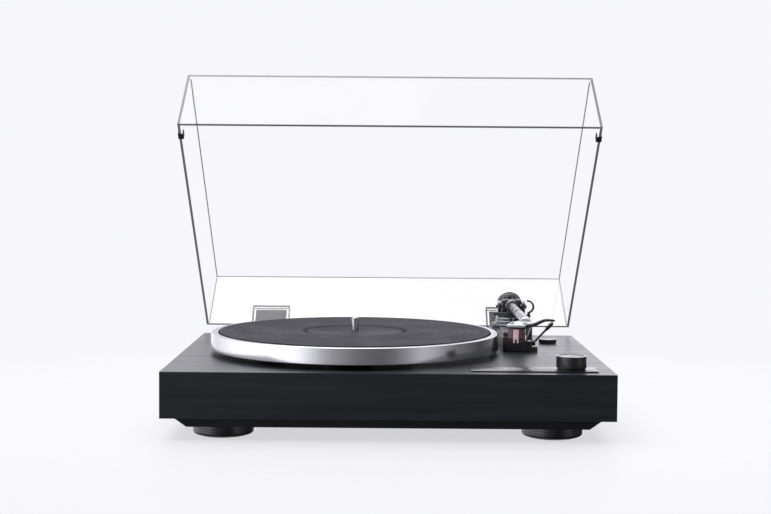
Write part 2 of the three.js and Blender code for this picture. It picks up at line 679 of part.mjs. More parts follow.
// A phono socket: a barrel with a small bore, and a collar that sits outside the plate.
function makePhonoSocket(x) {
  const plateBack = backFace - 2.2 + 2 * GAP + TERMINALS.plate;
  const profile = [
    [0, backFace - 12], [4.2, backFace - 12], [4.2, plateBack], [6.4, plateBack],
    [6.4, plateBack + 1.8], [4.2, plateBack + 1.8], [4.2, backFace + 9], [1.6, backFace + 9],
    [1.6, backFace + 1], [0, backFace + 1],
  ];
  return turnedAlongY(profile, x, terminalZ, 20);
}

function makeGroundTerminal() {
  const plateBack = backFace - 2.2 + 2 * GAP + TERMINALS.plate;
  const profile = [
    [0, backFace - 9], [2.2, backFace - 9], [2.2, plateBack + 0.4], [5, plateBack + 0.4],
    [5, backFace + 5], [2.2, backFace + 5], [2.2, backFace + 7.5], [0, backFace + 7.5],
  ];
  return turnedAlongY(profile, 60, terminalZ, 18);
}

// The low-voltage inlet: a square body with a round hole and a pin in the middle of it.
function makePowerJack() {
  const face = backFace - 0.2;
  return block(80.3, 90.7, face - 14, face, terminalZ - 5.7, terminalZ + 5.7)
    .subtract(rod(2.9, [85.5, face - 10, terminalZ], [85.5, face + 1, terminalZ], 18))
    .add(rod(1, [85.5, face - 11, terminalZ], [85.5, face - 1.5, terminalZ], 12));
}

piece('terminal_plate', makeTerminalPlate(), BLACK_PLASTIC);
piece('phono_socket_left', makePhonoSocket(24), BRASS);
piece('phono_socket_right', makePhonoSocket(42), BRASS);
piece('ground_terminal', makeGroundTerminal(), CHROME);
piece('power_jack', makePowerJack(), BLACK_PLASTIC);
piece('circuit_board', block(14, 98, 92, 150, -33, -31.4), BOARD);

// ---------------------------------------------------------------- hinges on the plinth

// The bracket's two ears reach back from its plate and hold the pin.
function makeBracket(x) {
  const { y, z, pin, barrel, leafHalf } = HINGE;
  const half = leafHalf + 5;
  const ears = block(x - half, x + half, backFace + GAP, y, z - barrel, z + 2)
    .add(rod(barrel, [x - half, y, z], [x + half, y, z], 24))
    .subtract(block(x - half + 4.2, x + half - 4.2, backFace + 3, y + 20, z - 20, z + 20));
  return block(x - half, x + half, backFace + GAP, backFace + 3, -40, z - 2)
    .add(ears)
    .subtract(rod(pin + GAP, [x - half - 1, y, z], [x + half + 1, y, z], 18));
}

for (const [side, x] of [['left', -HINGE.x], ['right', HINGE.x]]) {
  const reach = HINGE.leafHalf + 5.4;
  const pin = rod(HINGE.pin, [x - reach, HINGE.y, HINGE.z], [x + reach, HINGE.y, HINGE.z], 16);
  piece(`hinge_bracket_${side}`, makeBracket(x), BLACK_PLASTIC);
  piece(`hinge_pin_${side}`, pin, STEEL);
}

// ---------------------------------------------------------------- dust cover

// The cover is drawn closed, about the hinge axis, and its group then swings it open.
const cover = new THREE.Group();
cover.position.set(0, HINGE.y, HINGE.z);
cover.rotation.x = -HINGE.open * DEG;
deck.add(cover);

const rim = COVER_RIM - HINGE.z; // the rim's height above the hinge axis
const coverBack = COVER.depth / 2 - HINGE.y; // the rear wall's outer face at the rim

function makeCover() {
  const c = COVER;
  const x = c.width / 2;
  const y = c.depth / 2;
  const t = c.wall;
  const outer = frustum(x, y, rim, x - c.draftX, y - c.draftY, rim + c.height);
  const inner = frustum(
    x - t, y - t, rim - 1, x - c.draftX - t, y - c.draftY - t, rim + c.height - t,
  );
  return outer.subtract(inner).translate([0, -HINGE.y, 0]);
}

// A clear pocket glued to the rear wall's outside, open at the bottom for the hinge blade.
function makePocket(x) {
  const { half, height, depth, wall } = POCKET;
  const y0 = coverBack + GAP;
  return block(x - half, x + half, y0, y0 + depth, rim, rim + height)
    .subtract(block(x - half + wall, x + half - wall, y0 + 1.6, y0 + depth - 1.8, rim - 1, rim + height - wall));
}

// The hinge leaf: a barrel on the pin, an arm, and a flat blade that stands in the pocket.
function makeLeaf(x) {
  const { pin, barrel, leafHalf } = HINGE;
  const blade0 = coverBack + GAP + 1.6 + GAP;
  const blade1 = coverBack + GAP + POCKET.depth - 1.8 - GAP;
  const outline = [
    [-1, barrel], [blade0, rim - 8], [blade0, rim + 25], [blade1, rim + 25],
    [blade1, rim - 4], [3, barrel - 1], [3, -1], [-5.5, 1],
  ];
  return profileAlongX(outline, x - leafHalf, x + leafHalf)
    .add(rod(barrel - 0.2, [x - leafHalf, 0, 0], [x + leafHalf, 0, 0], 24))
    .subtract(rod(pin + GAP, [x - leafHalf - 1, 0, 0], [x + leafHalf + 1, 0, 0], 18));
}

// A rubber stop that grips the side wall's rim near the front corner.
function makeBumper(side) {
  const { fromFront, length, height, skin, grip } = BUMPER;
  const x = COVER.width / 2;
  const y = -COVER.depth / 2 - HINGE.y + fromFront;
  const groove = block(x - COVER.wall - 0.8, x + GAP, y - 1, y + length + 1, rim - GAP, rim + height + 1);
  const body = block(x - COVER.wall - grip - 1, x + grip, y, y + length, rim - skin, rim + height);
  const clip = body.subtract(groove);
  return side > 0 ? clip : clip.mirror([1, 0, 0]);
}

piece('dust_cover', makeCover(), CLEAR, cover);
for (const [side, sign] of [['left', -1], ['right', 1]]) {
  piece(`hinge_pocket_${side}`, makePocket(sign * HINGE.x), CLEAR, cover);
  piece(`hinge_leaf_${side}`, makeLeaf(sign * HINGE.x), BLACK_PLASTIC, cover);
  piece(`cover_bumper_${side}`, makeBumper(sign), RUBBER, cover);
}

export default player;
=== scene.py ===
# Looks for the turntable record player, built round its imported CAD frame. +Z is up.
# Shapes and places are in millimetres until to_object makes meshes of them; looks are in metres.
import json
import math

import bmesh
import bpy
from mathutils import Matrix, Vector


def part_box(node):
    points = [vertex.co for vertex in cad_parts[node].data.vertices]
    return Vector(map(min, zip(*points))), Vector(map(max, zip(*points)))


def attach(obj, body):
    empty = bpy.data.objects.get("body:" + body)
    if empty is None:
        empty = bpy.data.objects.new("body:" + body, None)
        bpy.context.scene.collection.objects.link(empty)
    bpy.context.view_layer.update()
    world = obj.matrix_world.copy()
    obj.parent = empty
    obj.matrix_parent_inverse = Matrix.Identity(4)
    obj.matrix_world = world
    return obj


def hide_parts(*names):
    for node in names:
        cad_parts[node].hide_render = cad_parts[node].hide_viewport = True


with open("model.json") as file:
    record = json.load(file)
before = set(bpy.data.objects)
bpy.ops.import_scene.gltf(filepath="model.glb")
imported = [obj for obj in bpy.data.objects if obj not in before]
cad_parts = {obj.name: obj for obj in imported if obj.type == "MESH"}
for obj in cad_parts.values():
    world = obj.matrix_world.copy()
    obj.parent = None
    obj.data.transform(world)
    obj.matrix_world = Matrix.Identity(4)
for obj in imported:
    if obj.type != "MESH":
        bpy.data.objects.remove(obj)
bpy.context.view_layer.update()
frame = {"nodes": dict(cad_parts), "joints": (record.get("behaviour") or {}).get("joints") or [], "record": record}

MM = 0.001
TO_METRES = Matrix.Scale(MM, 4)
STAND_X = Matrix(((0, 0, 1, 0), (1, 0, 0, 0), (0, 1, 0, 0), (0, 0, 0, 1)))  # turns x, y, z to y, z, x
JOINTS = {j["name"]: j for j in frame["joints"]}

# ------------------------------------------------------------------ places taken from the frame


def box(node):
    """A CAD node's lowest and highest corner."""
    return [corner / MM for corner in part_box(node)]


def middle(node):
    low, high = box(node)
    return (low + high) / 2


def joint_at(name):
    return Vector(JOINTS[name]["pos_m"]) / MM


def on_table(point):
    """The spot on the table under a point, for a lathe about an upright axis."""
    return Vector((point.x, point.y, 0))


DECK = middle("plinth")
DECK.z = box("plinth")[1].z
SPINDLE = joint_at("platter_spin")
PIVOT = joint_at("tonearm_swing")
HINGE = joint_at("cover_hinge")
OPEN_ANGLE = math.radians(JOINTS["cover_hinge"]["range_deg"][1])
HEAD_OFFSET = math.radians(18)  # the headshell's angle to the tube

# ------------------------------------------------------------------ materials


class Nodes:
    """A node tree, with short ways to add and join its nodes."""

    def __init__(self, tree):
        self.tree = tree

    def add(self, kind, **settings):
        node = self.tree.nodes.new(kind)
        for key, value in settings.items():
            setattr(node, key, value)
        return node

    def link(self, source, target):
        self.tree.links.new(source, target)

    def ramp(self, value, low, high, out_low, out_high, **settings):
        node = self.add("ShaderNodeMapRange", **settings)
        for key, number in zip(("From Min", "From Max", "To Min", "To Max"), (low, high, out_low, out_high)):
            node.inputs[key].default_value = number
        self.link(value, node.inputs["Value"])
        return node.outputs["Result"]

    def math(self, kind, *values, **settings):
        """A Math node fed by sockets and numbers."""
        node = self.add("ShaderNodeMath", operation=kind, **settings)
        for value, socket in zip(values, node.inputs):
            if hasattr(value, "links"):
                self.link(value, socket)
            else:
                socket.default_value = value
        return node.outputs[0]


class Look(Nodes):
    """A Principled material. Its methods add patterns, and constants stay on the shader."""

    def __init__(self, name, color, roughness, metallic=0.0, **sockets):
        self.material = bpy.data.materials.new(name)
        self.material.use_nodes = True
        super().__init__(self.material.node_tree)
        self.shader = self.tree.nodes["Principled BSDF"]
        self.color = (*color, 1.0)
        self.shader.inputs["Base Color"].default_value = self.color
        self.shader.inputs["Roughness"].default_value = roughness
        self.shader.inputs["Metallic"].default_value = metallic
        for socket, value in sockets.items():
            self.shader.inputs[socket.replace("_", " ")].default_value = value
        self.coords = self.add("ShaderNodeTexCoord").outputs["Object"]

    def stretched(self, scale, origin=(0, 0, 0)):
        """Object coordinates measured from origin, a place in millimetres, and multiplied by scale."""
        shift = self.add("ShaderNodeVectorMath", operation="SUBTRACT")
        shift.inputs[1].default_value = Vector(origin) * MM
        times = self.add("ShaderNodeVectorMath", operation="MULTIPLY")
        times.inputs[1].default_value = scale
        self.link(self.coords, shift.inputs[0])
        self.link(shift.outputs[0], times.inputs[0])
        return times.outputs[0]

    def noise(self, scale, detail=3.0, vector=None, roughness=0.55):
        node = self.add("ShaderNodeTexNoise")
        node.inputs["Scale"].default_value = scale
        node.inputs["Detail"].default_value = detail
        node.inputs["Roughness"].default_value = roughness
        self.link(vector or self.coords, node.inputs["Vector"])
        return node.outputs["Fac"]

    def rings(self, centre, axis, spacing, detail=1.5):
        """A value that changes only with the distance from an axis, like the marks of turning."""
        flat = [1.0, 1.0, 1.0]
        flat["XYZ".index(axis)] = 0.0
        length = self.add("ShaderNodeVectorMath", operation="LENGTH")
        self.link(self.stretched(flat, centre), length.inputs[0])
        noise = self.add("ShaderNodeTexNoise", noise_dimensions="1D")
        noise.inputs["Scale"].default_value = 1 / spacing
        noise.inputs["Detail"].default_value = detail
        self.link(length.outputs["Value"], noise.inputs["W"])
        return noise.outputs["Fac"]

    def blend(self, fac, a, b, kind="RGBA"):
        node = self.add("ShaderNodeMix", data_type=kind)
        ends = (6, 7) if kind == "RGBA" else (2, 3)
        self.link(fac, node.inputs[0])
        for slot, end in zip(ends, (a, b)):
            if hasattr(end, "links"):
                self.link(end, node.inputs[slot])
            else:
                node.inputs[slot].default_value = end
        return node.outputs[2 if kind == "RGBA" else 0]

    def tint(self, fac, other):
        """Mixes the base colour towards other by fac."""
        socket = self.shader.inputs["Base Color"]
        base = socket.links[0].from_socket if socket.links else self.color
        self.link(self.blend(fac, base, (*other, 1.0)), socket)

    def vary_roughness(self, fac, low, high):
        self.link(self.ramp(fac, 0.3, 0.7, low, high), self.shader.inputs["Roughness"])

    def bump(self, height, depth, strength=1.0):
        """Adds relief; depth is in metres."""
        node = self.add("ShaderNodeBump")
        node.inputs["Distance"].default_value = depth
        node.inputs["Strength"].default_value = strength
        self.link(height, node.inputs["Height"])
        before = self.shader.inputs["Normal"].links
        if before:
            self.link(before[0].from_socket, node.inputs["Normal"])
        self.link(node.outputs["Normal"], self.shader.inputs["Normal"])

    def edge_wear(self, color, radius, amount):
        """Lightens the edges, where handling rubs the finish."""
        bevel = self.add("ShaderNodeBevel", samples=4)
        bevel.inputs["Radius"].default_value = radius
        geometry = self.add("ShaderNodeNewGeometry")
        dot = self.add("ShaderNodeVectorMath", operation="DOT_PRODUCT")
        self.link(bevel.outputs[0], dot.inputs[0])
        self.link(geometry.outputs["Normal"], dot.inputs[1])
        self.tint(self.ramp(dot.outputs["Value"], 1.0, 0.75, 0.0, amount), color)


def black_ash():
    """Black-stained veneer: long dark pores along X on the top and front, along Y on the sides."""
    look = Look("black_ash", (0.0085, 0.0105, 0.0142), 0.35, Specular_IOR_Level=0.5)
    geometry = look.add("ShaderNodeNewGeometry")
    split = look.add("ShaderNodeSeparateXYZ")
    look.link(geometry.outputs["Normal"], split.inputs[0])
    side = look.math("ABSOLUTE", split.outputs["X"])

    def grain(along, across, detail):
        on_top = look.noise(1.0, detail, look.stretched((along, across, across)))
        on_side = look.noise(1.0, detail, look.stretched((across, along, across)))
        return look.blend(side, on_top, on_side, "FLOAT")

    figure = grain(7, 150, 4.0)
    pores = grain(16, 900, 2.0)
    look.tint(look.ramp(figure, 0.35, 0.7, 0.0, 0.5), (0.019, 0.0205, 0.024))
    look.tint(look.ramp(pores, 0.55, 0.72, 0.0, 0.6), (0.004, 0.0042, 0.005))
    look.vary_roughness(figure, 0.3, 0.43)
    look.bump(pores, 0.00012, 0.55)
    look.bump(figure, 0.0002, 0.3)
    look.edge_wear((0.05, 0.05, 0.054), 0.0006, 0.2)
    return look.material


def moulded(name, color, roughness, grain=0.00003, wear=0.3, **sockets):
    """Moulded plastic with a fine spark-eroded grain, faint cloudy patches and rubbed edges."""
    look = Look(name, color, roughness, **sockets)
    fine = look.noise(2600, 2.0)
    cloud = look.noise(38, 3.0)
    lighter = tuple(min(1.0, c * 1.6 + 0.004) for c in color)
    look.tint(look.ramp(cloud, 0.35, 0.75, 0.0, 0.4), lighter)
    look.vary_roughness(cloud, roughness * 0.9, min(1.0, roughness * 1.15))
    look.bump(fine, grain, 0.5)
    look.edge_wear(tuple(min(1.0, c * 3 + 0.02) for c in color), 0.0005, wear)
    return look.material


def turned_metal(name, color, roughness, centre, axis="Z", spacing=0.00035, depth=0.00001, **sockets):
    """Metal with concentric turning marks about an axis."""
    look = Look(name, color, roughness, 1.0, **sockets)
    marks = look.rings(centre, axis, spacing)
    smudge = look.noise(45, 3.0)
    look.tint(look.ramp(marks, 0.35, 0.7, 0.0, 0.3), tuple(c * 0.8 for c in color))
    look.vary_roughness(smudge, roughness * 0.85, min(1.0, roughness * 1.25))
    look.bump(marks, depth, 0.5)
    return look.material


def metal(name, color, roughness, grain=0.000006, **sockets):
    """Plated or painted metal with a fine orange peel and a few dull patches."""
    look = Look(name, color, roughness, 1.0, **sockets)
    look.vary_roughness(look.noise(60, 4.0), roughness * 0.8, min(1.0, roughness * 1.35))
    look.tint(look.ramp(look.noise(25, 2.0), 0.4, 0.8, 0.0, 0.25), tuple(c * 0.75 for c in color))
    look.bump(look.noise(900, 2.0), grain, 0.4)
    return look.material


def silver_paint(name, color):
    """Silver lacquer with small flakes in it."""
    look = Look(name, color, 0.34, 0.75, Coat_Weight=0.25, Coat_Roughness=0.15)
    flakes = look.add("ShaderNodeTexVoronoi")
    flakes.inputs["Scale"].default_value = 3200
    look.link(look.coords, flakes.inputs["Vector"])
    look.tint(look.ramp(flakes.outputs["Distance"], 0.1, 0.6, 0.35, 0.0), tuple(1.5 * c for c in color))
    look.vary_roughness(look.noise(70), 0.28, 0.42)
    look.edge_wear(tuple(1.8 * c for c in color), 0.0004, 0.4)
    return look.material


def rubber(name, color, roughness=0.75, centre=None, gloss=0.4):
    """Matt rubber with dust in its pores; with a centre, faint moulding rings about it."""
    look = Look(name, color, roughness, Specular_IOR_Level=gloss)
    dust = look.noise(120, 5.0, roughness=0.7)
    look.tint(look.ramp(dust, 0.5, 0.8, 0.0, 0.35), tuple(c * 1.9 + 0.01 for c in color))
    look.vary_roughness(look.noise(30), roughness * 0.9, min(1.0, roughness * 1.12))
    look.bump(look.noise(1500, 3.0), 0.00005, 0.45)
    if centre is not None:
        rings = look.rings(centre, "Z", 0.0016, 1.0)
        look.tint(look.ramp(rings, 0.45, 0.75, 0.0, 0.35), tuple(c * 1.5 for c in color))
    return look.material


def knob_skirt(centre):
    """Black anodised knob: satin, with fine lines round its side."""
    look = Look("knob_black", (0.016, 0.0165, 0.019), 0.25, 0.3, Coat_Weight=0.3, Coat_Roughness=0.15)
    lines = look.noise(1.0, 2.0, look.stretched((40, 40, 5200), centre))
    look.tint(look.ramp(lines, 0.4, 0.7, 0.0, 0.4), (0.035, 0.036, 0.04))
    look.bump(lines, 0.00001, 0.4)
    look.vary_roughness(look.noise(90), 0.2, 0.3)
    look.edge_wear((0.3, 0.3, 0.32), 0.0004, 0.5)
    return look.material


def smoky_red():
    """Tinted clear plastic over a dark core, with a painted sheen: its colour turns a lighter red towards grazing
    angles, standing in for light getting through its edges.
    """
    look = Look("red_smoke", (0.055, 0.012, 0.012), 0.12, Coat_Weight=0.6, Coat_Roughness=0.05)
    # Painted sheen: Layer Weight lifts the base colour to a brighter red where the surface is seen edge-on.
    facing = look.add("ShaderNodeLayerWeight")
    facing.inputs["Blend"].default_value = 0.35
    look.tint(look.ramp(facing.outputs["Facing"], 0.1, 0.9, 0.0, 0.8), (0.16, 0.035, 0.03))
    look.tint(look.ramp(look.noise(260, 3.0), 0.5, 0.8, 0.0, 0.5), (0.1, 0.03, 0.02))
    return look.material


def pane(name, gloss, cloudy):
    """Clear acrylic sheet: see-through, with a thin gloss, a faint haze and hairline scratches."""
    look = Look(name, (0.97, 0.97, 0.985), 0.04, 1.0)
    cloud = look.noise(3.2, 4.0)
    hairs = look.noise(1.0, 2.0, look.stretched((30, 700, 240)))
    scratched = look.ramp(hairs, 0.68, 0.76, 0.0, cloudy * 3)
    haze = look.math("ADD", scratched, look.ramp(cloud, 0.3, 0.7, cloudy * 0.3, cloudy))
    fresnel = look.add("ShaderNodeFresnel")
    fresnel.inputs["IOR"].default_value = 1.3
    sheen = look.math("MINIMUM", fresnel.outputs[0], gloss)
    look.link(look.math("ADD", haze, sheen), look.shader.inputs["Alpha"])
    look.vary_roughness(cloud, 0.03, 0.07)
    return look.material


def pane_edge(name, color, glow):
    """A sheet's polished edge in a soft grey, with a painted glow: its emission stands in for the light caught in
    the sheet coming out of it.
    """
    # Painted glow: the edge emits its own grey at strength glow.
    look = Look(name, color, 0.25, Specular_IOR_Level=0.3, Emission_Strength=glow)
    look.shader.inputs["Emission Color"].default_value = (*color, 1.0)
    look.tint(look.ramp(look.noise(14, 2.0), 0.35, 0.7, 0.0, 0.5), tuple(c * 0.75 for c in color))
    look.vary_roughness(look.noise(160, 2.0), 0.18, 0.34)
    return look.material


def board_green():
    """Solder-masked board with copper tracks under the mask."""
    look = Look("board_green", (0.02, 0.11, 0.045), 0.3, Coat_Weight=0.3)
    tracks = look.add("ShaderNodeTexBrick")
    tracks.inputs["Scale"].default_value = 90
    look.link(look.coords, tracks.inputs["Vector"])
    look.tint(look.ramp(tracks.outputs["Fac"], 0.0, 1.0, 0.0, 0.7), (0.05, 0.22, 0.08))
    return look.material


def lacquer():
    """Black lacquer on metal: an orange peel under a clear gloss, worn grey at the edges."""
    look = Look("black_lacquer", (0.01, 0.01, 0.011), 0.3, Coat_Weight=0.35, Coat_Roughness=0.12)
    look.vary_roughness(look.noise(90, 3.0), 0.24, 0.38)
    look.tint(look.ramp(look.noise(40, 3.0), 0.4, 0.8, 0.0, 0.5), (0.02, 0.02, 0.022))
    look.bump(look.noise(700, 2.0), 0.000006, 0.4)
    look.edge_wear((0.08, 0.08, 0.085), 0.0003, 0.4)
    return look.material


def rim_metal(centre):
    """The platter's turned aluminium: fine lines round its rim and rings on its flat."""
    look = Look("aluminium", (0.76, 0.765, 0.785), 0.2, 1.0)
    lines = look.noise(1.0, 3.0, look.stretched((1.5, 1.5, 5200), centre))
    rings = look.rings(centre, "Z", 0.0004)
    look.tint(look.ramp(lines, 0.35, 0.7, 0.0, 0.35), (0.6, 0.6, 0.615))
    look.tint(look.ramp(look.noise(9, 3.0), 0.4, 0.8, 0.0, 0.2), (0.66, 0.665, 0.69))
    look.vary_roughness(lines, 0.13, 0.19)
    look.bump(lines, 0.000002, 0.15)
    look.bump(rings, 0.000003, 0.3)
    return look.material


def strip_gloss():
    """The control strip's film: glossy black with a fine texture and the odd wiped streak."""
    look = Look("strip_gloss", (0.01, 0.0105, 0.012), 0.3, Coat_Weight=0.2, Coat_Roughness=0.25)
    wiped = look.noise(1.0, 3.0, look.stretched((14, 120, 120)))
    look.vary_roughness(wiped, 0.25, 0.33)
    look.tint(look.ramp(wiped, 0.4, 0.8, 0.0, 0.5), (0.018, 0.0185, 0.02))
    look.bump(look.noise(1800, 2.0), 0.000004, 0.3)
    return look.material


def ink(name, color):
    """Printed marks, a little uneven."""
    look = Look(name, color, 0.5)
    look.tint(look.ramp(look.noise(900, 2.0), 0.5, 0.8, 0.0, 0.4), tuple(c * 0.7 for c in color))
    return look.material


LOOKS = {
    "black_ash": black_ash(),
    "satin_black": moulded("satin_black", (0.018, 0.0185, 0.021), 0.4),
    "gloss_black": moulded("gloss_black", (0.008, 0.008, 0.009), 0.1, 0.000004, 0.15, Coat_Weight=0.5),
    "knob_black": knob_skirt(joint_at("speed_knob_turn")),
    "gunmetal": turned_metal("gunmetal", (0.22, 0.22, 0.235), 0.24, PIVOT),
    "black_lacquer": lacquer(),
    "steel": metal("steel", (0.52, 0.53, 0.55), 0.3),
    "brass": metal("brass", (0.75, 0.56, 0.26), 0.25),
    "chrome": metal("chrome", (0.42, 0.42, 0.44), 0.1, 0.000002),
    "aluminium": rim_metal(SPINDLE),
    "arm_metal": metal("arm_metal", (0.17, 0.172, 0.185), 0.26),
    "silver_paint": silver_paint("silver_paint", (0.36, 0.365, 0.385)),
    "mat_rubber": rubber("mat_rubber", (0.019, 0.0185, 0.0235), 0.8, SPINDLE, 0.18),
    "belt_rubber": rubber("belt_rubber", (0.012, 0.012, 0.012), 0.8),
    "pad_rubber": rubber("pad_rubber", (0.014, 0.014, 0.015), 0.8),
    "red_smoke": smoky_red(),
    "board_green": board_green(),
    "clear_acrylic": pane("clear_acrylic", 0.0015, 0.002),
}
REAR_PANE = pane("acrylic_rear", 0.032, 0.003)
# Painted light: the edge, rim and seam greys are lit and shaded copies of one edge finish, each with a painted
# glow.
EDGE = pane_edge("acrylic_edge", (0.135, 0.13, 0.155), 0.25)
RIM = pane_edge("acrylic_rim", (0.2, 0.2, 0.21), 0.25)
SEAM = pane_edge("acrylic_seam", (0.33, 0.33, 0.34), 0.3)
WHITE_INK = ink("white_ink", (0.75, 0.75, 0.74))
# Painted highlight: a pale pink standing in for the highlight on the cartridge's front.
PINK_HIGHLIGHT = moulded("pink_painted_highlight", (0.62, 0.42, 0.44), 0.25, 0.000004, 0.1)
STRIP_GLOSS = strip_gloss()
# Painted shadow: a near-black, barely glossy rubber for rings that stand in for shadow and shade on the mat.
PAINTED_SHADE_BLACK = rubber("painted_shade_black", (0.004, 0.004, 0.0045), 0.95, gloss=0.02)
# Painted shade: a darker copy of the platter's turned aluminium for its flat ring, darker than the rim because of
# how light falls on the flat.
SHADED_FLAT_METAL = turned_metal("flat_metal_painted_shade", (0.3, 0.3, 0.315), 0.35, SPINDLE, "Z", 0.0005, 0.00001)
DARK_BRUSHED = turned_metal("dark_ring", (0.09, 0.09, 0.1), 0.34, PIVOT, "Z", 0.0004, 0.00001)
COLLAR_METAL = turned_metal("collar_metal", (0.3, 0.305, 0.32), 0.26, PIVOT, "Z", 0.0004, 0.00001)
WEIGHT_METAL = turned_metal(
    "weight_metal", (0.66, 0.67, 0.69), 0.27, joint_at("counterweight_turn"), "Y", 0.0004, 0.00001)
WIRES = [
    moulded(f"wire_{name}", color, 0.4, 0.000005, 0.0)
    for name, color in (
        ("red", (0.5, 0.02, 0.02)), ("green", (0.03, 0.3, 0.06)),
        ("blue", (0.03, 0.08, 0.45)), ("white", (0.7, 0.7, 0.68)))
]

# ------------------------------------------------------------------ mesh helpers


def soften(points, radius, steps=3, closed=False):
    """Rounds the corners of a path of 2-D points with small arcs."""
    out = []
    count = len(points)
    for i, point in enumerate(points):
        here = Vector(point)
        if not closed and i in (0, count - 1):
            out.append(tuple(here))
            continue
        before = Vector(points[i - 1]) - here
        after = Vector(points[(i + 1) % count]) - here
        turn = before.angle(after, math.pi)
        if turn > math.radians(165):
            out.append(tuple(here))
            continue
        reach = min(radius, before.length * 0.45, after.length * 0.45)
        start = here + before.normalized() * reach
        end = here + after.normalized() * reach
        for k in range(steps + 1):
            t = k / steps
            out.append(tuple(start * (1 - t) ** 2 + here * 2 * t * (1 - t) + end * t * t))
    return out


def to_object(name, bm, looks, angle=35, place=None):
    """Moves a mesh by place, takes it from millimetres to metres and makes an object of it."""
    bm.transform(TO_METRES @ (place or Matrix.Identity(4)))
    bmesh.ops.recalc_face_normals(bm, faces=bm.faces)
    mesh = bpy.data.meshes.new(name)
    bm.to_mesh(mesh)
    bm.free()
    for face in mesh.polygons:
        face.use_smooth = True
    mesh.set_sharp_from_angle(angle=math.radians(angle))
    obj = bpy.data.objects.new(name, mesh)
    bpy.context.scene.collection.objects.link(obj)
    for look in looks if isinstance(looks, (list, tuple)) else [looks]:
        mesh.materials.append(look)
    return obj


def lathe(name, profile, at, look, axis="Z", segments=96, closed=False, place=None):
    """Turns [radius, distance along axis] points about an axis through at."""
    bm = bmesh.new()
    turn = {"Z": Matrix.Identity(3), "Y": Matrix.Rotation(-math.pi / 2, 3, "X"),
            "X": Matrix.Rotation(math.pi / 2, 3, "Y")}[axis]
    rings = []
    for radius, along in profile:
        spots = 1 if radius < 1e-4 else segments
        rings.append([
            bm.verts.new(Vector(at) + turn @ Vector((
                radius * math.cos(2 * math.pi * k / segments),
                radius * math.sin(2 * math.pi * k / segments), along)))
            for k in range(spots)])
    pairs = list(zip(rings, rings[1:] + rings[:1] if closed else rings[1:]))
    for a, b in pairs:
        for k in range(segments):
            n = (k + 1) % segments
            quad = [a[k % len(a)], a[n % len(a)], b[n % len(b)], b[k % len(b)]]
            corners = list(dict.fromkeys(quad))
            if len(corners) > 2:
                bm.faces.new(corners)
    return to_object(name, bm, look, place=place)


def prism(name, outline, low, high, look, bevel=0.0, steps=2, place=None):
    """Raises an outline in X and Y from low to high. place moves it; bevel rounds its edges.

    The edges are rounded at metre scale, because the tool's tolerances are absolute."""
    bm = bmesh.new()
    bottom = [bm.verts.new((x * MM, y * MM, low * MM)) for x, y in outline]
    top = [bm.verts.new((x * MM, y * MM, high * MM)) for x, y in outline]
    bm.faces.new(bottom)
    bm.faces.new(top)
    count = len(outline)
    for k in range(count):
        n = (k + 1) % count
        bm.faces.new((bottom[k], bottom[n], top[n], top[k]))
    bmesh.ops.recalc_face_normals(bm, faces=bm.faces)
    if bevel:
        sharp = [e for e in bm.edges if e.calc_face_angle(0) > math.radians(40)]
        bmesh.ops.bevel(bm, geom=sharp, offset=bevel * MM, segments=steps, profile=0.5, affect="EDGES")
    bm.transform(TO_METRES.inverted())
    return to_object(name, bm, look, place=place)


def box_outline(x0, x1, y0, y1, radius=0.0, steps=5):
    corners = [(x0, y0), (x1, y0), (x1, y1), (x0, y1)]
    return soften(corners, radius, steps, closed=True) if radius else corners


def block(name, low, high, look, bevel=0.4, round_corners=0.0, place=None):
    outline = box_outline(low[0], high[0], low[1], high[1], round_corners)
    return prism(name, outline, low[2], high[2], look, bevel, place=place)


def curve_points(points, count):
    """Points along a Catmull-Rom curve through the given ones, ends included."""
    points = [Vector(p) for p in points]
    spread = [2 * points[0] - points[1], *points, 2 * points[-1] - points[-2]]
    out = []
    for k in range(count + 1):
        t = k / count * (len(points) - 1)
        i = min(int(t), len(points) - 2)
        t -= i
        a, b, c, d = spread[i:i + 4]
        out.append(0.5 * (2 * b + (c - a) * t + (2 * a - 5 * b + 4 * c - d) * t ** 2
                          + (3 * b - a - 3 * c + d) * t ** 3))
    return out


def sweep(name, points, section, look, up=(0, 0, 1), sizes=None):
    """Carries a 2-D section along points, with flat ends. sizes scales it at each point."""
    bm = bmesh.new()
    rings = []
    for i, here in enumerate(points):
        along = (points[min(i + 1, len(points) - 1)] - points[max(i - 1, 0)]).normalized()
        side = along.cross(Vector(up)).normalized()
        lift = side.cross(along)
        scale = sizes[i] if sizes else 1.0
        rings.append([bm.verts.new(here + side * x * scale + lift * y * scale) for x, y in section])
    for a, b in zip(rings, rings[1:]):
        for k in range(len(section)):
            n = (k + 1) % len(section)
            bm.faces.new((a[k], a[n], b[n], b[k]))
    bm.faces.new(rings[0])
    bm.faces.new(rings[-1])
    return to_object(name, bm, look, 50)


def ring_section(radius, count=16):
    step = 2 * math.pi / count
    return [(radius * math.cos(k * step), radius * math.sin(k * step)) for k in range(count)]


def joined(name, parts):
    """Makes one piece of several, keeping each one's materials."""
    with bpy.context.temp_override(
            active_object=parts[0], object=parts[0], selected_objects=parts,
            selected_editable_objects=parts):
        bpy.ops.object.join()
    parts[0].name = name
    parts[0].data.name = name
    return parts[0]


def add(obj, body, slot=None, *nodes):
    """The piece rides on a body and stands for CAD nodes, which it hides. The slot is not used."""
    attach(obj, body)
    if nodes:
        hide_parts(*nodes)
    return obj


def rounded_edges(width, *node_names, segments=2):
    for node_name in node_names:
        modifier = frame["nodes"][node_name].modifiers.new("edges", "BEVEL")
        modifier.width = width * MM
        modifier.segments = segments
        modifier.limit_method = "ANGLE"
        modifier.angle_limit = math.radians(40)
        modifier.harden_normals = False
        modifier.use_clamp_overlap = True


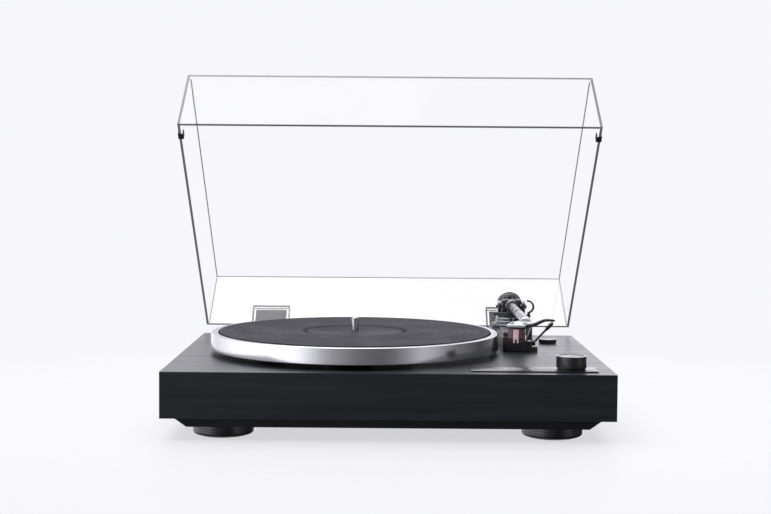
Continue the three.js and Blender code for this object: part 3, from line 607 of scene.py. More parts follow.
def text(name, words, height, at, look, spin=0.0, tilt=None):
    """Flat printed numerals, as a thin mesh filled at metre scale."""
    curve = bpy.data.curves.new(name, "FONT")
    curve.body = words
    curve.size = height * MM
    curve.align_x = "CENTER"
    curve.align_y = "CENTER"
    curve.extrude = 0.02 * MM
    curve.resolution_u = 3
    turn = (tilt or Matrix.Identity(4)) @ Matrix.Rotation(spin, 4, "Z")
    shape = bpy.data.objects.new(name + "_shape", curve)
    bpy.context.scene.collection.objects.link(shape)
    mesh = bpy.data.meshes.new_from_object(shape)
    bpy.data.objects.remove(shape)
    mesh.transform(TO_METRES @ Matrix.Translation(at) @ turn @ TO_METRES.inverted())
    mesh.materials.clear()
    mesh.materials.append(look)
    obj = bpy.data.objects.new(name, mesh)
    bpy.context.scene.collection.objects.link(obj)
    return obj


# ------------------------------------------------------------------ carried-over CAD nodes

SLOT_OF = {s["node"]: s["material_slot"] for s in frame["record"]["subparts"]}
for node_name, node in frame["nodes"].items():
    node.data.materials.clear()
    node.data.materials.append(LOOKS[SLOT_OF[node_name]])

rounded_edges(0.5, "plinth")
rounded_edges(0.6, "bottom_tray")
rounded_edges(0.25, "terminal_plate", "rotary_switch", "power_jack", "circuit_board", "cue_lever_base")
rounded_edges(0.3, "arm_rest", "arm_rest_clip", "cue_lift_bar", "lift_guide")
for hand in ("left", "right"):
    rounded_edges(0.4, f"hinge_leaf_{hand}", f"hinge_bracket_{hand}")
    rounded_edges(0.7, f"cover_bumper_{hand}", segments=3)

# ------------------------------------------------------------------ feet


def make_foot(name, pad_name):
    low, high = box(name)
    at = on_table(middle(name))
    r = (high.x - low.x) / 2
    tall = high.z - low.z
    profile = [(0, high.z), (r - 0.5, high.z), (r, high.z - 0.5)]
    for share in (0.72, 0.5):
        groove = low.z + tall * share
        profile += [
            (r, groove + 0.35), (r - 0.35, groove + 0.15),
            (r - 0.35, groove - 0.15), (r, groove - 0.35)]
    for k in range(7):
        a = math.pi / 2 * k / 6
        profile.append((r - 3.4 * (1 - math.cos(a)), low.z + 3.4 * (1 - math.sin(a))))
    profile += [
        (r - 5.3, low.z), (r - 5.4, low.z + 0.9), (0, low.z + 0.9)]
    add(lathe(name + "_turned", profile, at, LOOKS["gloss_black"]), "chassis", "gloss_black", name)
    low, high = box(pad_name)
    r = (high.x - low.x) / 2
    profile = soften([(0, low.z), (r, low.z), (r, high.z), (0, high.z)], 0.5)
    pad = lathe(pad_name + "_turned", profile, at, LOOKS["pad_rubber"], segments=64)
    add(pad, "chassis", "pad_rubber", pad_name)


for end in ("front", "rear"):
    for hand in ("left", "right"):
        make_foot(f"foot_{end}_{hand}", f"foot_pad_{end}_{hand}")

# ------------------------------------------------------------------ platter, mat and spindle


def make_platter():
    low, high = box("platter")
    mat_low, mat_high = box("platter_mat")
    r = (high.x - low.x) / 2
    mat_r = (mat_high.x - mat_low.x) / 2
    bore = 3.9
    web = low.z + 7.9
    well = mat_low.z - 0.3
    profile = soften([
        (bore, web), (r - 12, web), (r - 12, low.z), (r, low.z), (r - 0.75, high.z),
        (mat_r + 1.2, high.z), (mat_r + 0.35, high.z - 0.5), (mat_r + 0.3, well),
        (bore, well)], 0.7, 4, closed=True)
    at = on_table(SPINDLE)
    platter = lathe("platter_turned", profile, at, LOOKS["aluminium"], segments=256, closed=True)
    # Painted shade: the flat ring is laid in a darker copy of the rim's aluminium.
    facing = lathe("facing", [
        (mat_r + 1.4, high.z - 0.3), (mat_r + 1.6, high.z + 0.02),
        (r - 1.5, high.z + 0.02), (r - 1.5, high.z - 0.3)],
        at, SHADED_FLAT_METAL, segments=192, closed=True)
    add(joined("platter_rim", [platter, facing]), "platter", "aluminium", "platter")


def make_mat():
    """A moulded mat: a dished label area, then broad rings parted by narrow grooves, with black rings of painted
    shadow at its edge and round the label.
    """
    low, high = box("platter_mat")
    r = (high.x - low.x) / 2
    top = high.z
    dip = top - 0.6
    label = 53.5
    pitch = 8.6
    profile = [(3.9, low.z), (3.9, dip), (label - 1, dip), (label, top)]
    ring = label + 4
    while ring < r - 6:
        for offset, drop in ((0, 0), (0.5, 0.4), (1.3, 0.4), (1.8, 0)):
            profile.append((ring + offset, top - drop))
        ring += pitch
    profile += [(r - 0.2, top), (r, top - 0.2), (r, low.z)]
    at = on_table(SPINDLE)
    disc = lathe("disc", profile, at, LOOKS["mat_rubber"], segments=192, closed=True)
    # Painted shadow: a black ring round the mat's lower edge, where the shadow under its rim falls.
    shadow_skirt = lathe("shadow_skirt", [
        (r - 0.1, top - 0.25), (r + 0.5, top - 0.35),
        (r + 1.6, low.z + 0.35), (r + 1.6, low.z + 0.05), (r - 0.1, low.z + 0.05)],
        at, PAINTED_SHADE_BLACK, segments=192, closed=True)
    # Painted shade: a black ring at the label's step, where the step's shade falls.
    line = lathe("line", [
        (label - 2.4, dip - 0.1), (label - 2.4, dip + 0.03),
        (label - 0.9, dip + 0.05), (label + 0.1, top + 0.02),
        (label + 1.6, top + 0.02), (label + 1.6, dip)],
        at, PAINTED_SHADE_BLACK, segments=128, closed=True)
    mat = joined("mat_ringed", [disc, shadow_skirt, line])
    add(mat, "platter", "mat_rubber", "platter_mat")


def make_spindle():
    low, high = box("spindle")
    shaft = (high.x - low.x) / 2
    thin = 3.6
    step = box("sub_platter")[1].z
    profile = soften([
        (0, low.z), (shaft, low.z + 1), (shaft, step), (thin, step), (thin, high.z - 0.9),
        (thin * 0.8, high.z), (0, high.z)], 0.5, 4)
    at = on_table(SPINDLE)
    add(lathe("spindle_turned", profile, at, LOOKS["chrome"], segments=64), "platter", "chrome", "spindle")


make_platter()
make_mat()
make_spindle()

# ------------------------------------------------------------------ control strip and knob


def make_strip():
    low, high = box("control_strip")
    outline = box_outline(low.x, high.x, low.y, high.y, 1.2)
    strip = prism("control_strip_plate", outline, low.z, high.z, STRIP_GLOSS, 0.25)
    add(strip, "chassis", "satin_black", "control_strip")
    knob = joint_at("speed_knob_turn")
    ink_z = high.z + 0.03
    marks = []
    knob_low, knob_high = box("speed_knob")
    radius = (knob_high.x - knob_low.x) / 2 + 2.6
    for angle in (-40, 0, 40):
        a = math.radians(angle)
        at = Vector((knob.x + radius * math.sin(a), knob.y + radius * math.cos(a), ink_z))
        dot = [(0, 0), (0.55, 0), (0.55, 0.03), (0, 0.03)]
        marks.append(lathe("mark", dot, at, WHITE_INK, segments=20))
    for number, x in (("33", -0.52), ("45", -0.32)):
        at = Vector((knob.x + x * (high.x - low.x), knob.y, ink_z))
        marks.append(text("number", number, 4.2, at, WHITE_INK))
        marks.append(block(
            "dash", at + Vector((-2.2, -4.4, 0)), at + Vector((2.2, -4.1, 0.03)), WHITE_INK, 0))
    add(joined("strip_marks", marks), "chassis")


def make_knob():
    low, high = box("speed_knob")
    at = on_table(joint_at("speed_knob_turn"))
    r = (high.x - low.x) / 2
    profile = soften([
        (0, low.z), (r - 0.9, low.z), (r - 0.9, low.z + 1.1), (r, low.z + 1.5),
        (r, high.z), (r - 1.3, high.z), (r - 2.2, high.z - 0.7),
        (r * 0.4, high.z - 1.1), (0, high.z - 1.15)], 0.35, 4)
    knob = lathe("knob_turned", profile, at, LOOKS["knob_black"], segments=128)
    pointer = block(
        "pointer", (at.x - 0.35, at.y + r * 0.35, high.z - 1.12),
        (at.x + 0.35, at.y + r * 0.84, high.z - 0.7), WHITE_INK, 0.05)
    add(joined("speed_knob_turned", [knob, pointer]), "knob", "knob_black", "speed_knob")


make_strip()
make_knob()


def make_anti_skate():
    low, high = box("anti_skate_dial")
    at = on_table(joint_at("anti_skate_turn"))
    r = (high.x - low.x) / 2
    profile = soften([
        (0, low.z), (r - 0.4, low.z), (r, low.z + 1), (r, high.z), (r - 2.2, high.z),
        (r - 2.6, high.z - 0.35), (0, high.z - 0.35)], 0.4, 4)
    dial = lathe("dial", profile, at, LOOKS["knob_black"], segments=96)
    parts = [dial]
    for k in range(7):
        a = math.radians(-126 + 42 * k)
        spot = at + Vector((math.sin(a), math.cos(a), 0)) * (r - 4.2)
        spot.z = high.z - 0.32
        parts.append(text("number", str(k), 2.0, spot, WHITE_INK, -a))
    add(joined("anti_skate_turned", parts), "anti_skate", "knob_black", "anti_skate_dial")


make_anti_skate()

# ------------------------------------------------------------------ tonearm base and collar


def make_pod():
    """Round under the arm's collar, with a raised front block whose left corner is cut off."""
    low, high = box("tonearm_base")
    r = high.y - PIVOT.y
    # Rounded because the bevel at the cut corner follows the last digits.
    left, right = round(PIVOT.x - 17, 4), round(PIVOT.x + 9.2, 4)
    low.y = round(low.y, 4)
    cut = 3.6
    shelf = PIVOT.z - 24
    start = -math.acos((right - PIVOT.x) / r)
    end = math.pi + math.acos((PIVOT.x - left) / r)
    arc = [
        (PIVOT.x + r * math.cos(start + (end - start) * k / 48),
         PIVOT.y + r * math.sin(start + (end - start) * k / 48)) for k in range(49)]
    front = [(left, low.y + cut), (left + cut, low.y)]
    front += soften([(left, low.y), (right, low.y), (right, PIVOT.y)], 1.5, 4)[1:-1]
    pod = prism("pod", arc + front, low.z, shelf, LOOKS["satin_black"], 0.7, 3)
    left, right, y = left + 0.6, right - 0.6, low.y + 0.6
    back = low.y + 52.8
    raised = [(right, y), (right, back), (left, back), (left, y + cut), (left + cut, y)]
    top = prism("pod_block", raised, shelf - 1, high.z, LOOKS["satin_black"], 0.8, 3)
    add(joined("tonearm_pod", [pod, top]), "chassis", "satin_black", "tonearm_base")


def make_collar():
    low, high = box("tonearm_collar")
    at = on_table(PIVOT)
    r = (high.x - low.x) / 2
    bore = 4.3
    stem = 9.7
    flange = high.z - 8
    profile = soften([
        (bore, low.z), (stem, low.z), (stem, flange), (r, flange), (r, high.z - 4.6),
        (r - 1.4, high.z - 3.5), (r - 4.4, high.z - 3.4)], 0.5, 3)
    profile += [(r - 4.6, high.z - 3.1), (bore, high.z - 3.1)]
    lower = lathe("collar", profile, at, DARK_BRUSHED, segments=128, closed=True)
    cap = soften([
        (bore, high.z - 3.1), (r - 5, high.z - 3.1), (r - 5, high.z),
        (bore, high.z)], 0.5, 3, closed=True)
    upper = lathe("collar_cap", cap, at, COLLAR_METAL, segments=128, closed=True)
    add(joined("tonearm_collar_turned", [lower, upper]), "chassis", "gunmetal", "tonearm_collar")


make_pod()
make_collar()

# ------------------------------------------------------------------ yoke, bearing and tube


def make_yoke():
    low, high = box("arm_yoke")
    base_top = PIVOT.z - 12.3
    base_low = PIVOT.z - 15.4
    at = on_table(PIVOT)
    r = (high.x - low.x) / 2
    disc = lathe("disc", soften([
        (0, low.z), (4, low.z), (4, base_low), (r, base_low), (r, base_top),
        (0, base_top)], 0.5, 3), at, COLLAR_METAL)
    parts = [disc]
    for sign in (-1, 1):
        inner = PIVOT.x + sign * 11.5
        outer = PIVOT.x + sign * 15.5
        shoulder = high.z - PIVOT.z
        outline = soften([
            (-6, -12.8), (6, -12.8), (6, shoulder - 3), (4, shoulder),
            (-4, shoulder), (-6, shoulder - 3)], 1.5, 4, closed=True)
        stand = Matrix.Translation((0, PIVOT.y, PIVOT.z)) @ STAND_X
        parts.append(prism(
            "post", outline, min(inner, outer), max(inner, outer), LOOKS["gunmetal"], 0.6, 3, stand))
    add(joined("arm_yoke_posts", parts), "arm_carrier", "gunmetal", "arm_yoke")


def make_pivot_screw(hand, sign):
    name = f"pivot_screw_{hand}"
    tip = 8.4
    face = 15.8
    profile = soften([
        (0, sign * tip), (1.5, sign * (tip + 1)), (1.5, sign * face), (3, sign * face),
        (3, sign * (face + 1.7)), (0, sign * (face + 1.7))], 0.3)
    screw = lathe(name + "_turned", profile, PIVOT, LOOKS["chrome"], "X", 40)
    add(screw, "arm_carrier", "chrome", name)


def make_bearing_block():
    """The housing between the posts, with the threaded shaft behind it."""
    low, high = box("pivot_block")
    half = (high.x - low.x) / 2
    body = block(
        "housing", (PIVOT.x - half, PIVOT.y - 8, low.z), (PIVOT.x + half, PIVOT.y + 8, high.z),
        LOOKS["satin_black"], 1.0, 1.5)
    parts = [body]
    nose = soften([(0, -8.6), (6.6, -8.6), (7.2, -7.9), (0, -7.9)], 0.2)
    parts.append(lathe("nose", nose, PIVOT, COLLAR_METAL, "Y", 64))
    shaft = [(0, 7), (3.2, 7)]
    along = 9
    while along < high.y - PIVOT.y - 1.01:
        shaft += [(3.2, along), (3.4, along + 0.4)]
        along += 0.8
    shaft += [(3.0, high.y - PIVOT.y), (0, high.y - PIVOT.y)]
    parts.append(lathe("shaft", shaft, PIVOT, LOOKS["steel"], "Y", 48))
    add(joined("pivot_housing", parts), "tonearm", "satin_black", "pivot_block")


def make_tube():
    low, high = box("arm_tube")
    front = low.y - PIVOT.y
    back = high.y - PIVOT.y - 0.35
    r = (high.x - low.x) / 2
    profile = soften([
        (r - 1.1, front), (r, front), (r, back), (r - 1.1, back)], 0.2, 3, closed=True)
    add(lathe("arm_tube_drawn", profile, PIVOT, LOOKS["arm_metal"], "Y", 72, True),
        "tonearm", "arm_metal", "arm_tube")
    rest_y = middle("arm_rest").y - PIVOT.y
    wide = 3.2
    band = soften([
        (r + 0.05, rest_y - wide), (r + 0.28, rest_y - wide),
        (r + 0.28, rest_y + wide), (r + 0.05, rest_y + wide)], 0.1, 2, closed=True)
    add(lathe("arm_sleeve", band, PIVOT, LOOKS["satin_black"], "Y", 64, True), "tonearm", "satin_black")


make_yoke()
make_pivot_screw("left", -1)
make_pivot_screw("right", 1)
make_bearing_block()
make_tube()

# ------------------------------------------------------------------ counterweight and force dial


def make_counterweight():
    low, high = box("counterweight")
    r = (high.z - low.z) / 2
    front, back = low.y - PIVOT.y, high.y - PIVOT.y
    bore = 6.3
    profile = soften([
        (bore, front), (r - 0.6, front), (r, front + 0.6), (r, back - 7),
        (r - 0.5, back - 6.6), (r - 0.5, back - 6), (r, back - 5.6),
        (r, back - 1.6), (r - 1.6, back), (bore + 2, back), (bore + 2, back - 1),
        (bore, back - 1)], 0.35, 3, closed=True)
    weight = lathe("counterweight_turned", profile, PIVOT, WEIGHT_METAL, "Y", 128, True)
    add(weight, "counterweight", "silver_paint", "counterweight")


def make_force_dial():
    """The numbered ring in front of the weight: a cone face with white ticks and numbers."""
    low, high = box("tracking_force_dial")
    r = (high.z - low.z) / 2
    front, back = low.y - PIVOT.y, high.y - PIVOT.y
    bore = 6.3
    inner = r - 3.4
    profile = soften([
        (bore, front), (inner, front), (r, front + 2.2), (r, back), (bore, back)],
        0.25, 3, closed=True)
    dial = lathe("dial", profile, PIVOT, LOOKS["satin_black"], "Y", 128, True)
    parts = [dial]
    slope = math.atan2(2.2, r - inner)
    for k in range(32):
        a = 2 * math.pi * k / 32
        long = 2.8 if k % 4 == 0 else 1.7
        mid = r - 0.35 - long / 2
        turn = Matrix.Rotation(a, 4, "Y")
        spot = Matrix.Translation(PIVOT) @ turn @ Matrix.Translation(
            (0, front + (mid - inner) * math.tan(slope), mid)) @ Matrix.Rotation(slope, 4, "X")
        half = (0.34 if k % 4 == 0 else 0.24)
        parts.append(block(
            "tick", (-half, -0.08, -long / 2), (half, 0.05, long / 2), WHITE_INK, 0, place=spot))
    for k in range(8):
        turn = Matrix.Rotation(math.radians(22.5 + 45 * k), 4, "Y")
        spot = Matrix.Translation(PIVOT) @ turn @ Matrix.Translation(
            (0, front - 0.03, inner - 1.3)) @ Matrix.Rotation(math.pi / 2, 4, "X")
        parts.append(text("number", str(k), 2.5, Vector(), WHITE_INK, tilt=spot))
    add(joined("force_dial_marked", parts), "force_dial", "satin_black", "tracking_force_dial")


def make_sleeve():
    low, high = box("counterweight_sleeve")
    r = (high.z - low.z) / 2
    front, back = low.y - PIVOT.y, high.y - PIVOT.y
    profile = soften([(3.7, front), (r, front), (r, back), (3.7, back)], 0.4, 3, closed=True)
    sleeve = lathe("counterweight_bush", profile, PIVOT, LOOKS["satin_black"], "Y", 64, True)
    add(sleeve, "counterweight_sleeve", "satin_black", "counterweight_sleeve")


make_counterweight()
make_force_dial()
make_sleeve()

# ------------------------------------------------------------------ headshell, cartridge, stylus

tube_front = box("arm_tube")[0].y
HEAD = Matrix.Translation((PIVOT.x, tube_front + 0.1, PIVOT.z)) @ Matrix.Rotation(-HEAD_OFFSET, 4, "Z")


def make_headshell():
    outline = soften([
        (-9.5, -50), (9.5, -50), (9.5, -21), (5.4, -8), (-5.4, -8), (-9.5, -21)], 1.6, 5, closed=True)
    plate = prism("plate", outline, -0.9, 1.9, LOOKS["silver_paint"], 0.55, 3, HEAD)
    neck = lathe("neck", soften([(0, -2.2), (5.5, -2.2), (5.5, -10), (4.6, -11), (0, -11)], 0.4),
                 (0, 0, 0), LOOKS["silver_paint"], "Y", 64, place=HEAD)
    parts = [plate, neck]
    for x in (-6.35, 6.35):
        slot_outline = box_outline((x - 1.25), (x + 1.25), -45, -32, 1.2)
        parts.append(prism(
            "slot", slot_outline, 1.86, 1.93, LOOKS["satin_black"], place=HEAD))
        spot = HEAD @ Vector((x, -39, 0))
        profile = soften([(0, 1.9), (2.1, 1.9), (2.1, 3.2), (0.9, 3.4), (0.9, 2.6), (0, 2.6)], 0.2)
        parts.append(lathe("bolt", profile, spot, LOOKS["steel"], segments=32))
    add(joined("headshell_plate", parts), "tonearm", "silver_paint", "headshell")


def make_finger_lift():
    """A curved black strip from the headshell's edge, deep at its root and rounded at its end."""
    path = curve_points([
        (8.6, -41, 0.4), (14.5, -40.6, 1.2), (20, -39.8, 3.4), (25, -39, 5.8), (29.5, -38.6, 6.6),
        (36.5, -38, 6.2)], 32)
    section = soften([(-2.2, -1.3), (2.2, -1.3), (2.2, 1.3), (-2.2, 1.3)], 0.8, 3, closed=True)
    sizes = [1.6 - 0.7 * k / 32 for k in range(31)] + [0.8, 0.5]
    lift = sweep("finger_lift_strip", [HEAD @ p for p in path], section, LOOKS["black_lacquer"], sizes=sizes)
    add(lift, "tonearm", "black_lacquer", "finger_lift")


def head_plate(name, outline, rounding, low, high, look, bevel, steps=2, arc_steps=3):
    """A plate under the headshell: an outline seen from the side, raised from low to high across."""
    smooth = soften(outline, rounding, arc_steps, closed=True)
    return prism(name, smooth, low, high, look, bevel, steps, HEAD @ STAND_X)


def make_cartridge():
    """A black body that tapers up to the back, and a smoky red front with a forked guard, coloured pale pink as a
    painted highlight.
    """
    top = -1.2
    black = LOOKS["satin_black"]
    body = [(-44, top), (-44, -13.4), (-40, -14.4), (-36.5, -13.6), (-18, -5.2), (-18, top)]
    tail = [(-18.4, top), (-18.4, -6.4), (-7.5, -2.6), (-7.5, top)]
    shell = [
        (-47.9, top - 0.8), (-48.3, -12.2), (-46.6, -14.8), (-40.5, -14.9), (-40.5, -10), (-44.1, -7),
        (-44.1, top - 0.8)]
    guard = [(-48.2, top - 1.6), (-49, -10), (-49, -13), (-47.9, -13), (-47.4, top - 1.6)]
    tine = [(-49, -12.4), (-48.8, -16.3), (-48.1, -16.3), (-47.9, -12.4)]
    parts = [
        head_plate("body", body, 0.8, -8.3, 8.3, black, 0.4),
        head_plate("tail", tail, 0.5, -7.4, 7.4, black, 0.3),
        head_plate("shell", shell, 0.7, -8.4, 8.4, LOOKS["red_smoke"], 0.7, 3),
        # The guard and its tines are pale pink as a painted highlight.
        head_plate("guard", guard, 0.3, -2.7, 2.7, PINK_HIGHLIGHT, 0.3)]
    for x in (-1.85, 1.85):
        parts.append(head_plate(
            "tine", tine, 0.2, x - 0.85, x + 0.85, PINK_HIGHLIGHT, 0.2, arc_steps=2))
    for k, (x, wire) in enumerate(zip((-6.3, -4.1, 4.1, 6.3), WIRES)):
        z = -3.6 if k % 2 else -4.6
        pin = lathe("pin", [(0, -13), (0.55, -13), (0.55, -8.4), (0, -8.4)], (x, 0, z),
                    LOOKS["brass"], "Y", 16, place=HEAD)
        path = curve_points([
            (x, -9.6, z), (x, -7.2, z), (x * 0.75, -5.6, z + 0.8), (x * 0.6, -4, -3.2),
            (x * 0.45, -2.4, -2.8)], 14)
        lead = sweep("lead", [HEAD @ p for p in path], ring_section(0.45, 8), wire)
        parts += [pin, lead]
    add(joined("cartridge_body", parts), "tonearm", "red_smoke", "cartridge")


def make_stylus():
    low = box("stylus")[0].z - PIVOT.z
    holder = [(-45.2, -15), (-44.4, -16), (-41.8, -16), (-40.6, -15)]
    parts = [head_plate("holder", holder, 0.3, -3.3, 3.3, LOOKS["satin_black"], 0.2)]
    path = [HEAD @ Vector(p) for p in [(0, -42.4, -15.4), (0, -41.1, -16.5)]]
    parts.append(sweep("cantilever", path, ring_section(0.3, 10), LOOKS["arm_metal"]))
    tip = [(0, -16.3), (0.32, -16.4), (0.3, low + 0.3), (0.05, low), (0, low)]
    spot = HEAD @ Vector((0, -41.2, 0))
    parts.append(lathe("tip", tip, spot, LOOKS["chrome"], segments=16))
    add(joined("stylus_unit", parts), "tonearm", "satin_black", "stylus")


make_headshell()
make_finger_lift()
make_cartridge()
make_stylus()

# ------------------------------------------------------------------ arm rest, lift and cue lever


def make_cue_lever():
    at = joint_at("cue_lever_turn")
    low, high = box("cue_lever")
    tip = Vector((high.x - 1.3, at.y - 3, high.z - 1.4))
    path = [at.lerp(tip, t) for t in (0, 0.2, 0.45, 0.6, 0.66, 0.72, 0.85, 0.94, 0.985, 1.0)]
    sizes = [1.0, 1.0, 1.0, 1.05, 1.4, 1.75, 1.85, 1.8, 1.3, 0.5]
    lever = sweep("lever", path, ring_section(1.15, 24), LOOKS["black_lacquer"], (0, 1, 0), sizes)
    hub = lathe("hub", soften([
        (0, -6.5), (1.2, -6.5), (1.2, -2.2), (3, -2.2), (3, 1.6), (0, 1.6)], 0.3), at,
        LOOKS["satin_black"], "X", 48)
    add(joined("cue_lever_bent", [hub, lever]), "cue_lever", "black_lacquer", "cue_lever")


make_cue_lever()

# ------------------------------------------------------------------ dust cover and hinges

SHUT = Matrix.Translation(HINGE) @ Matrix.Rotation(OPEN_ANGLE, 4, "X") @ Matrix.Translation(-HINGE)
OPEN = SHUT.inverted()


def shut_points(node):
    """A cover node's vertices as they lie with the cover shut."""
    return [SHUT @ (v.co / MM) for v in frame["nodes"][node].data.vertices]


def make_cover():
    """Five glued sheets. Their faces are clear, their free edges a grey with a painted glow, and thin seams join
    them.
    """
    points = shut_points("dust_cover")
    rim = min(p.z for p in points)
    top = max(p.z for p in points)
    at_rim = [p for p in points if p.z < rim + 1]
    at_top = [p for p in points if p.z > top - 0.1]
    wall = 2.6
    x0, x1 = max(p.x for p in at_rim), max(p.x for p in at_top)
    ya, yb = min(p.y for p in at_rim), max(p.y for p in at_rim)
    yc, yd = min(p.y for p in at_top), max(p.y for p in at_top)
    under = top - wall
    part = (under - rim) / (top - rim)
    xu = x0 + (x1 - x0) * part
    yu0, yu1 = ya + (yc - ya) * part, yb + (yd - yb) * part
    clear, edge, free_rim, seam, rear = range(5)
    bm = bmesh.new()

    def sheet(corners_a, corners_b, edges, face=clear):
        """A sheet between two faces of four corners each; edges names the look of each side."""
        a = [bm.verts.new(c) for c in corners_a]
        b = [bm.verts.new(c) for c in corners_b]
        bm.faces.new(a).material_index = face
        bm.faces.new(b).material_index = face
        for k in range(4):
            n = (k + 1) % 4
            bm.faces.new((a[k], a[n], b[n], b[k])).material_index = edges[k]

    for sign in (-1, 1):
        outer = [(sign * x, y, z) for x, y, z in (
            (x0, ya, rim), (x0, yb, rim), (xu, yu1, under), (xu, yu0, under))]
        inner = [(x - sign * wall, y, z) for x, y, z in outer]
        sheet(outer, inner, (free_rim, clear, clear, edge))
    gap = 0.05
    for y_rim, y_under, inward, face in ((ya, yu0, 1, clear), (yb, yu1, -1, rear)):
        outer = [(x, y, z) for x, y, z in (
            (-x0 + wall + gap, y_rim, rim), (x0 - wall - gap, y_rim, rim),
            (xu - wall - gap, y_under, under), (-xu + wall + gap, y_under, under))]
        inner = [(x, y + inward * wall, z) for x, y, z in outer]
        sheet(outer, inner, (free_rim, clear, clear, clear), face)
    lid = [(-xu, yu0, under + gap), (xu, yu0, under + gap), (xu, yu1, under + gap), (-xu, yu1, under + gap)]
    upper = [(-x1, yc, top), (x1, yc, top), (x1, yd, top), (-x1, yd, top)]
    sheet(lid, upper, (edge, clear, clear, clear))

    def line(start, end, half=0.5):
        """A glued seam: a thin grey bar just inside a corner of the box, its grey glow painted light."""
        along = (Vector(end) - Vector(start)).normalized()
        side = along.orthogonal().normalized()
        other = along.cross(side)
        ends = []
        for point in (start, end):
            ends.append([
                bm.verts.new(Vector(point) + (side * a + other * b) * half)
                for a, b in ((-1, -1), (1, -1), (1, 1), (-1, 1))])
        for k in range(4):
            n = (k + 1) % 4
            bm.faces.new((ends[0][k], ends[0][n], ends[1][n], ends[1][k])).material_index = seam
        bm.faces.new(ends[0]).material_index = seam
        bm.faces.new(ends[1]).material_index = seam

    inset = wall + 0.6
    low_z, high_z = rim + 1, under - 0.6
    for sign in (-1, 1):
        top_x = sign * (xu - inset)
        line((sign * (x0 - inset), yb - inset, low_z), (top_x, yu1 - inset, high_z))
        line((top_x, yu1 - inset, high_z), (top_x, yu0 + inset, high_z))
    line((-xu + inset, yu1 - inset, high_z), (xu - inset, yu1 - inset, high_z))
    # EDGE, RIM and SEAM are greys with a painted glow.
    looks = [LOOKS["clear_acrylic"], EDGE, RIM, SEAM, REAR_PANE]
    cover = to_object("cover_sheets", bm, looks, 20, OPEN)
    for face in cover.data.polygons:
        face.use_smooth = False
    add(cover, "cover", "clear_acrylic", "dust_cover")


def make_pocket(hand):
    """A clear pocket: a front sheet, two sides, a cap and a backing sheet."""
    name = f"hinge_pocket_{hand}"
    points = shut_points(name)
    low = Vector([min(p[i] for p in points) for i in range(3)])
    high = Vector([max(p[i] for p in points) for i in range(3)])
    wall = 1.8
    # The pocket's edges take RIM, a grey with a painted glow.
    looks = [LOOKS["clear_acrylic"], RIM]
    parts = []
    sheets = (
        ((low.x, low.y, low.z), (high.x, low.y + 1.6, high.z)),
        ((low.x, high.y - 1.8, low.z), (high.x, high.y, high.z)),
        ((low.x, low.y + 1.65, low.z), (low.x + wall, high.y - 1.85, high.z - wall)),
        ((high.x - wall, low.y + 1.65, low.z), (high.x, high.y - 1.85, high.z - wall)),
        ((low.x, low.y + 1.65, high.z - wall + 0.05), (high.x, high.y - 1.85, high.z)),
    )
    for a, b in sheets:
        sheet = block("sheet", a, b, looks, 0.0, place=OPEN)
        thin = min(range(3), key=lambda i: b[i] - a[i])
        for face in sheet.data.polygons:
            normal = SHUT.to_3x3() @ face.normal
            face.use_smooth = False
            face.material_index = 0 if abs(normal[thin]) > 0.9 else 1
        parts.append(sheet)
    add(joined(name + "_sheets", parts), "cover", "clear_acrylic", name)


make_cover()
for hand in ("left", "right"):
    make_pocket(hand)

# ------------------------------------------------------------------ terminals at the back


def make_sockets():
    for hand, look in (("left", "white"), ("right", "red")):
        name = f"phono_socket_{hand}"
        low, high = box(name)
        at = middle(name)
        at.y = 0
        r = (high.x - low.x) / 2
        back = high.y
        shell = soften([
            (0, low.y), (4.2, low.y), (4.2, back - 9.3), (r - 0.6, back - 9.3),
            (r - 0.6, back - 8), (4.2, back - 8), (4.2, back - 0.4),
            (3.9, back), (3.3, back), (3.3, back - 7), (0, back - 7)], 0.15, 2)
        colour = ink(f"socket_{look}", (0.6, 0.02, 0.02) if look == "red" else (0.8, 0.8, 0.78))
        plug = soften([
            (1.6, back - 6.9), (3.25, back - 6.9), (3.25, back - 0.5),
            (1.6, back - 0.5)], 0.1, 2, closed=True)
        parts = [
            lathe("shell", shell, at, LOOKS["brass"], "Y", 64),
            lathe("core", plug, at, colour, "Y", 48, True)]
        add(joined(name + "_turned", parts), "chassis", "brass", name)


def make_ground():
    low, high = box("ground_terminal")
    at = middle("ground_terminal")
    at.y = 0
    r = (high.z - low.z) / 2
    post = soften([(0, low.y), (2.2, low.y), (2.2, high.y - 0.3), (1.8, high.y), (0, high.y)], 0.2, 2)
    teeth = 48
    knurled = []
    for k in range(2 * teeth):
        a = math.pi * k / teeth
        reach = r - 0.35 * (k % 2)
        knurled.append((reach * math.sin(a), reach * math.cos(a)))
    upright = Matrix.Translation((at.x, high.y - 8, at.z)) @ Matrix.Rotation(-math.pi / 2, 4, "X")
    nut = prism("nut", knurled, 0, 5.5, LOOKS["chrome"], place=upright)
    parts = [lathe("post", post, at, LOOKS["chrome"], "Y", 40), nut]
    add(joined("ground_terminal_knurled", parts), "chassis", "chrome", "ground_terminal")


make_sockets()
make_ground()

# ------------------------------------------------------------------ studio


BACKDROP = (0.93, 0.93, 0.965)


def make_floor():
    """A pale, softly lit table that melts into the backdrop a little way out."""
    look = Look("floor", (0.122, 0.122, 0.126), 0.6, Specular_IOR_Level=0.1)
    path = look.add("ShaderNodeLightPath")
    glow = look.math("MULTIPLY", path.outputs["Is Camera Ray"], 0.68)
    look.link(glow, look.shader.inputs["Emission Strength"])
    look.shader.inputs["Emission Color"].default_value = (*BACKDROP, 1)
    distance = look.add("ShaderNodeVectorMath", operation="LENGTH")
    look.link(look.stretched((1, 1.25, 0)), distance.inputs[0])
    near = look.ramp(distance.outputs["Value"], 0.3, 0.75, 1.0, 0.0)
    seen = look.math("SUBTRACT", near, path.outputs["Is Glossy Ray"], use_clamp=True)
    look.link(seen, look.shader.inputs["Alpha"])
    look.bump(look.noise(240, 2.0), 0.00001, 0.2)
    half = 800
    bm = bmesh.new()
    bm.faces.new([bm.verts.new((x, y, 0)) for x, y in box_outline(-half, half, -half, half)])
    to_object("floor", bm, look.material)


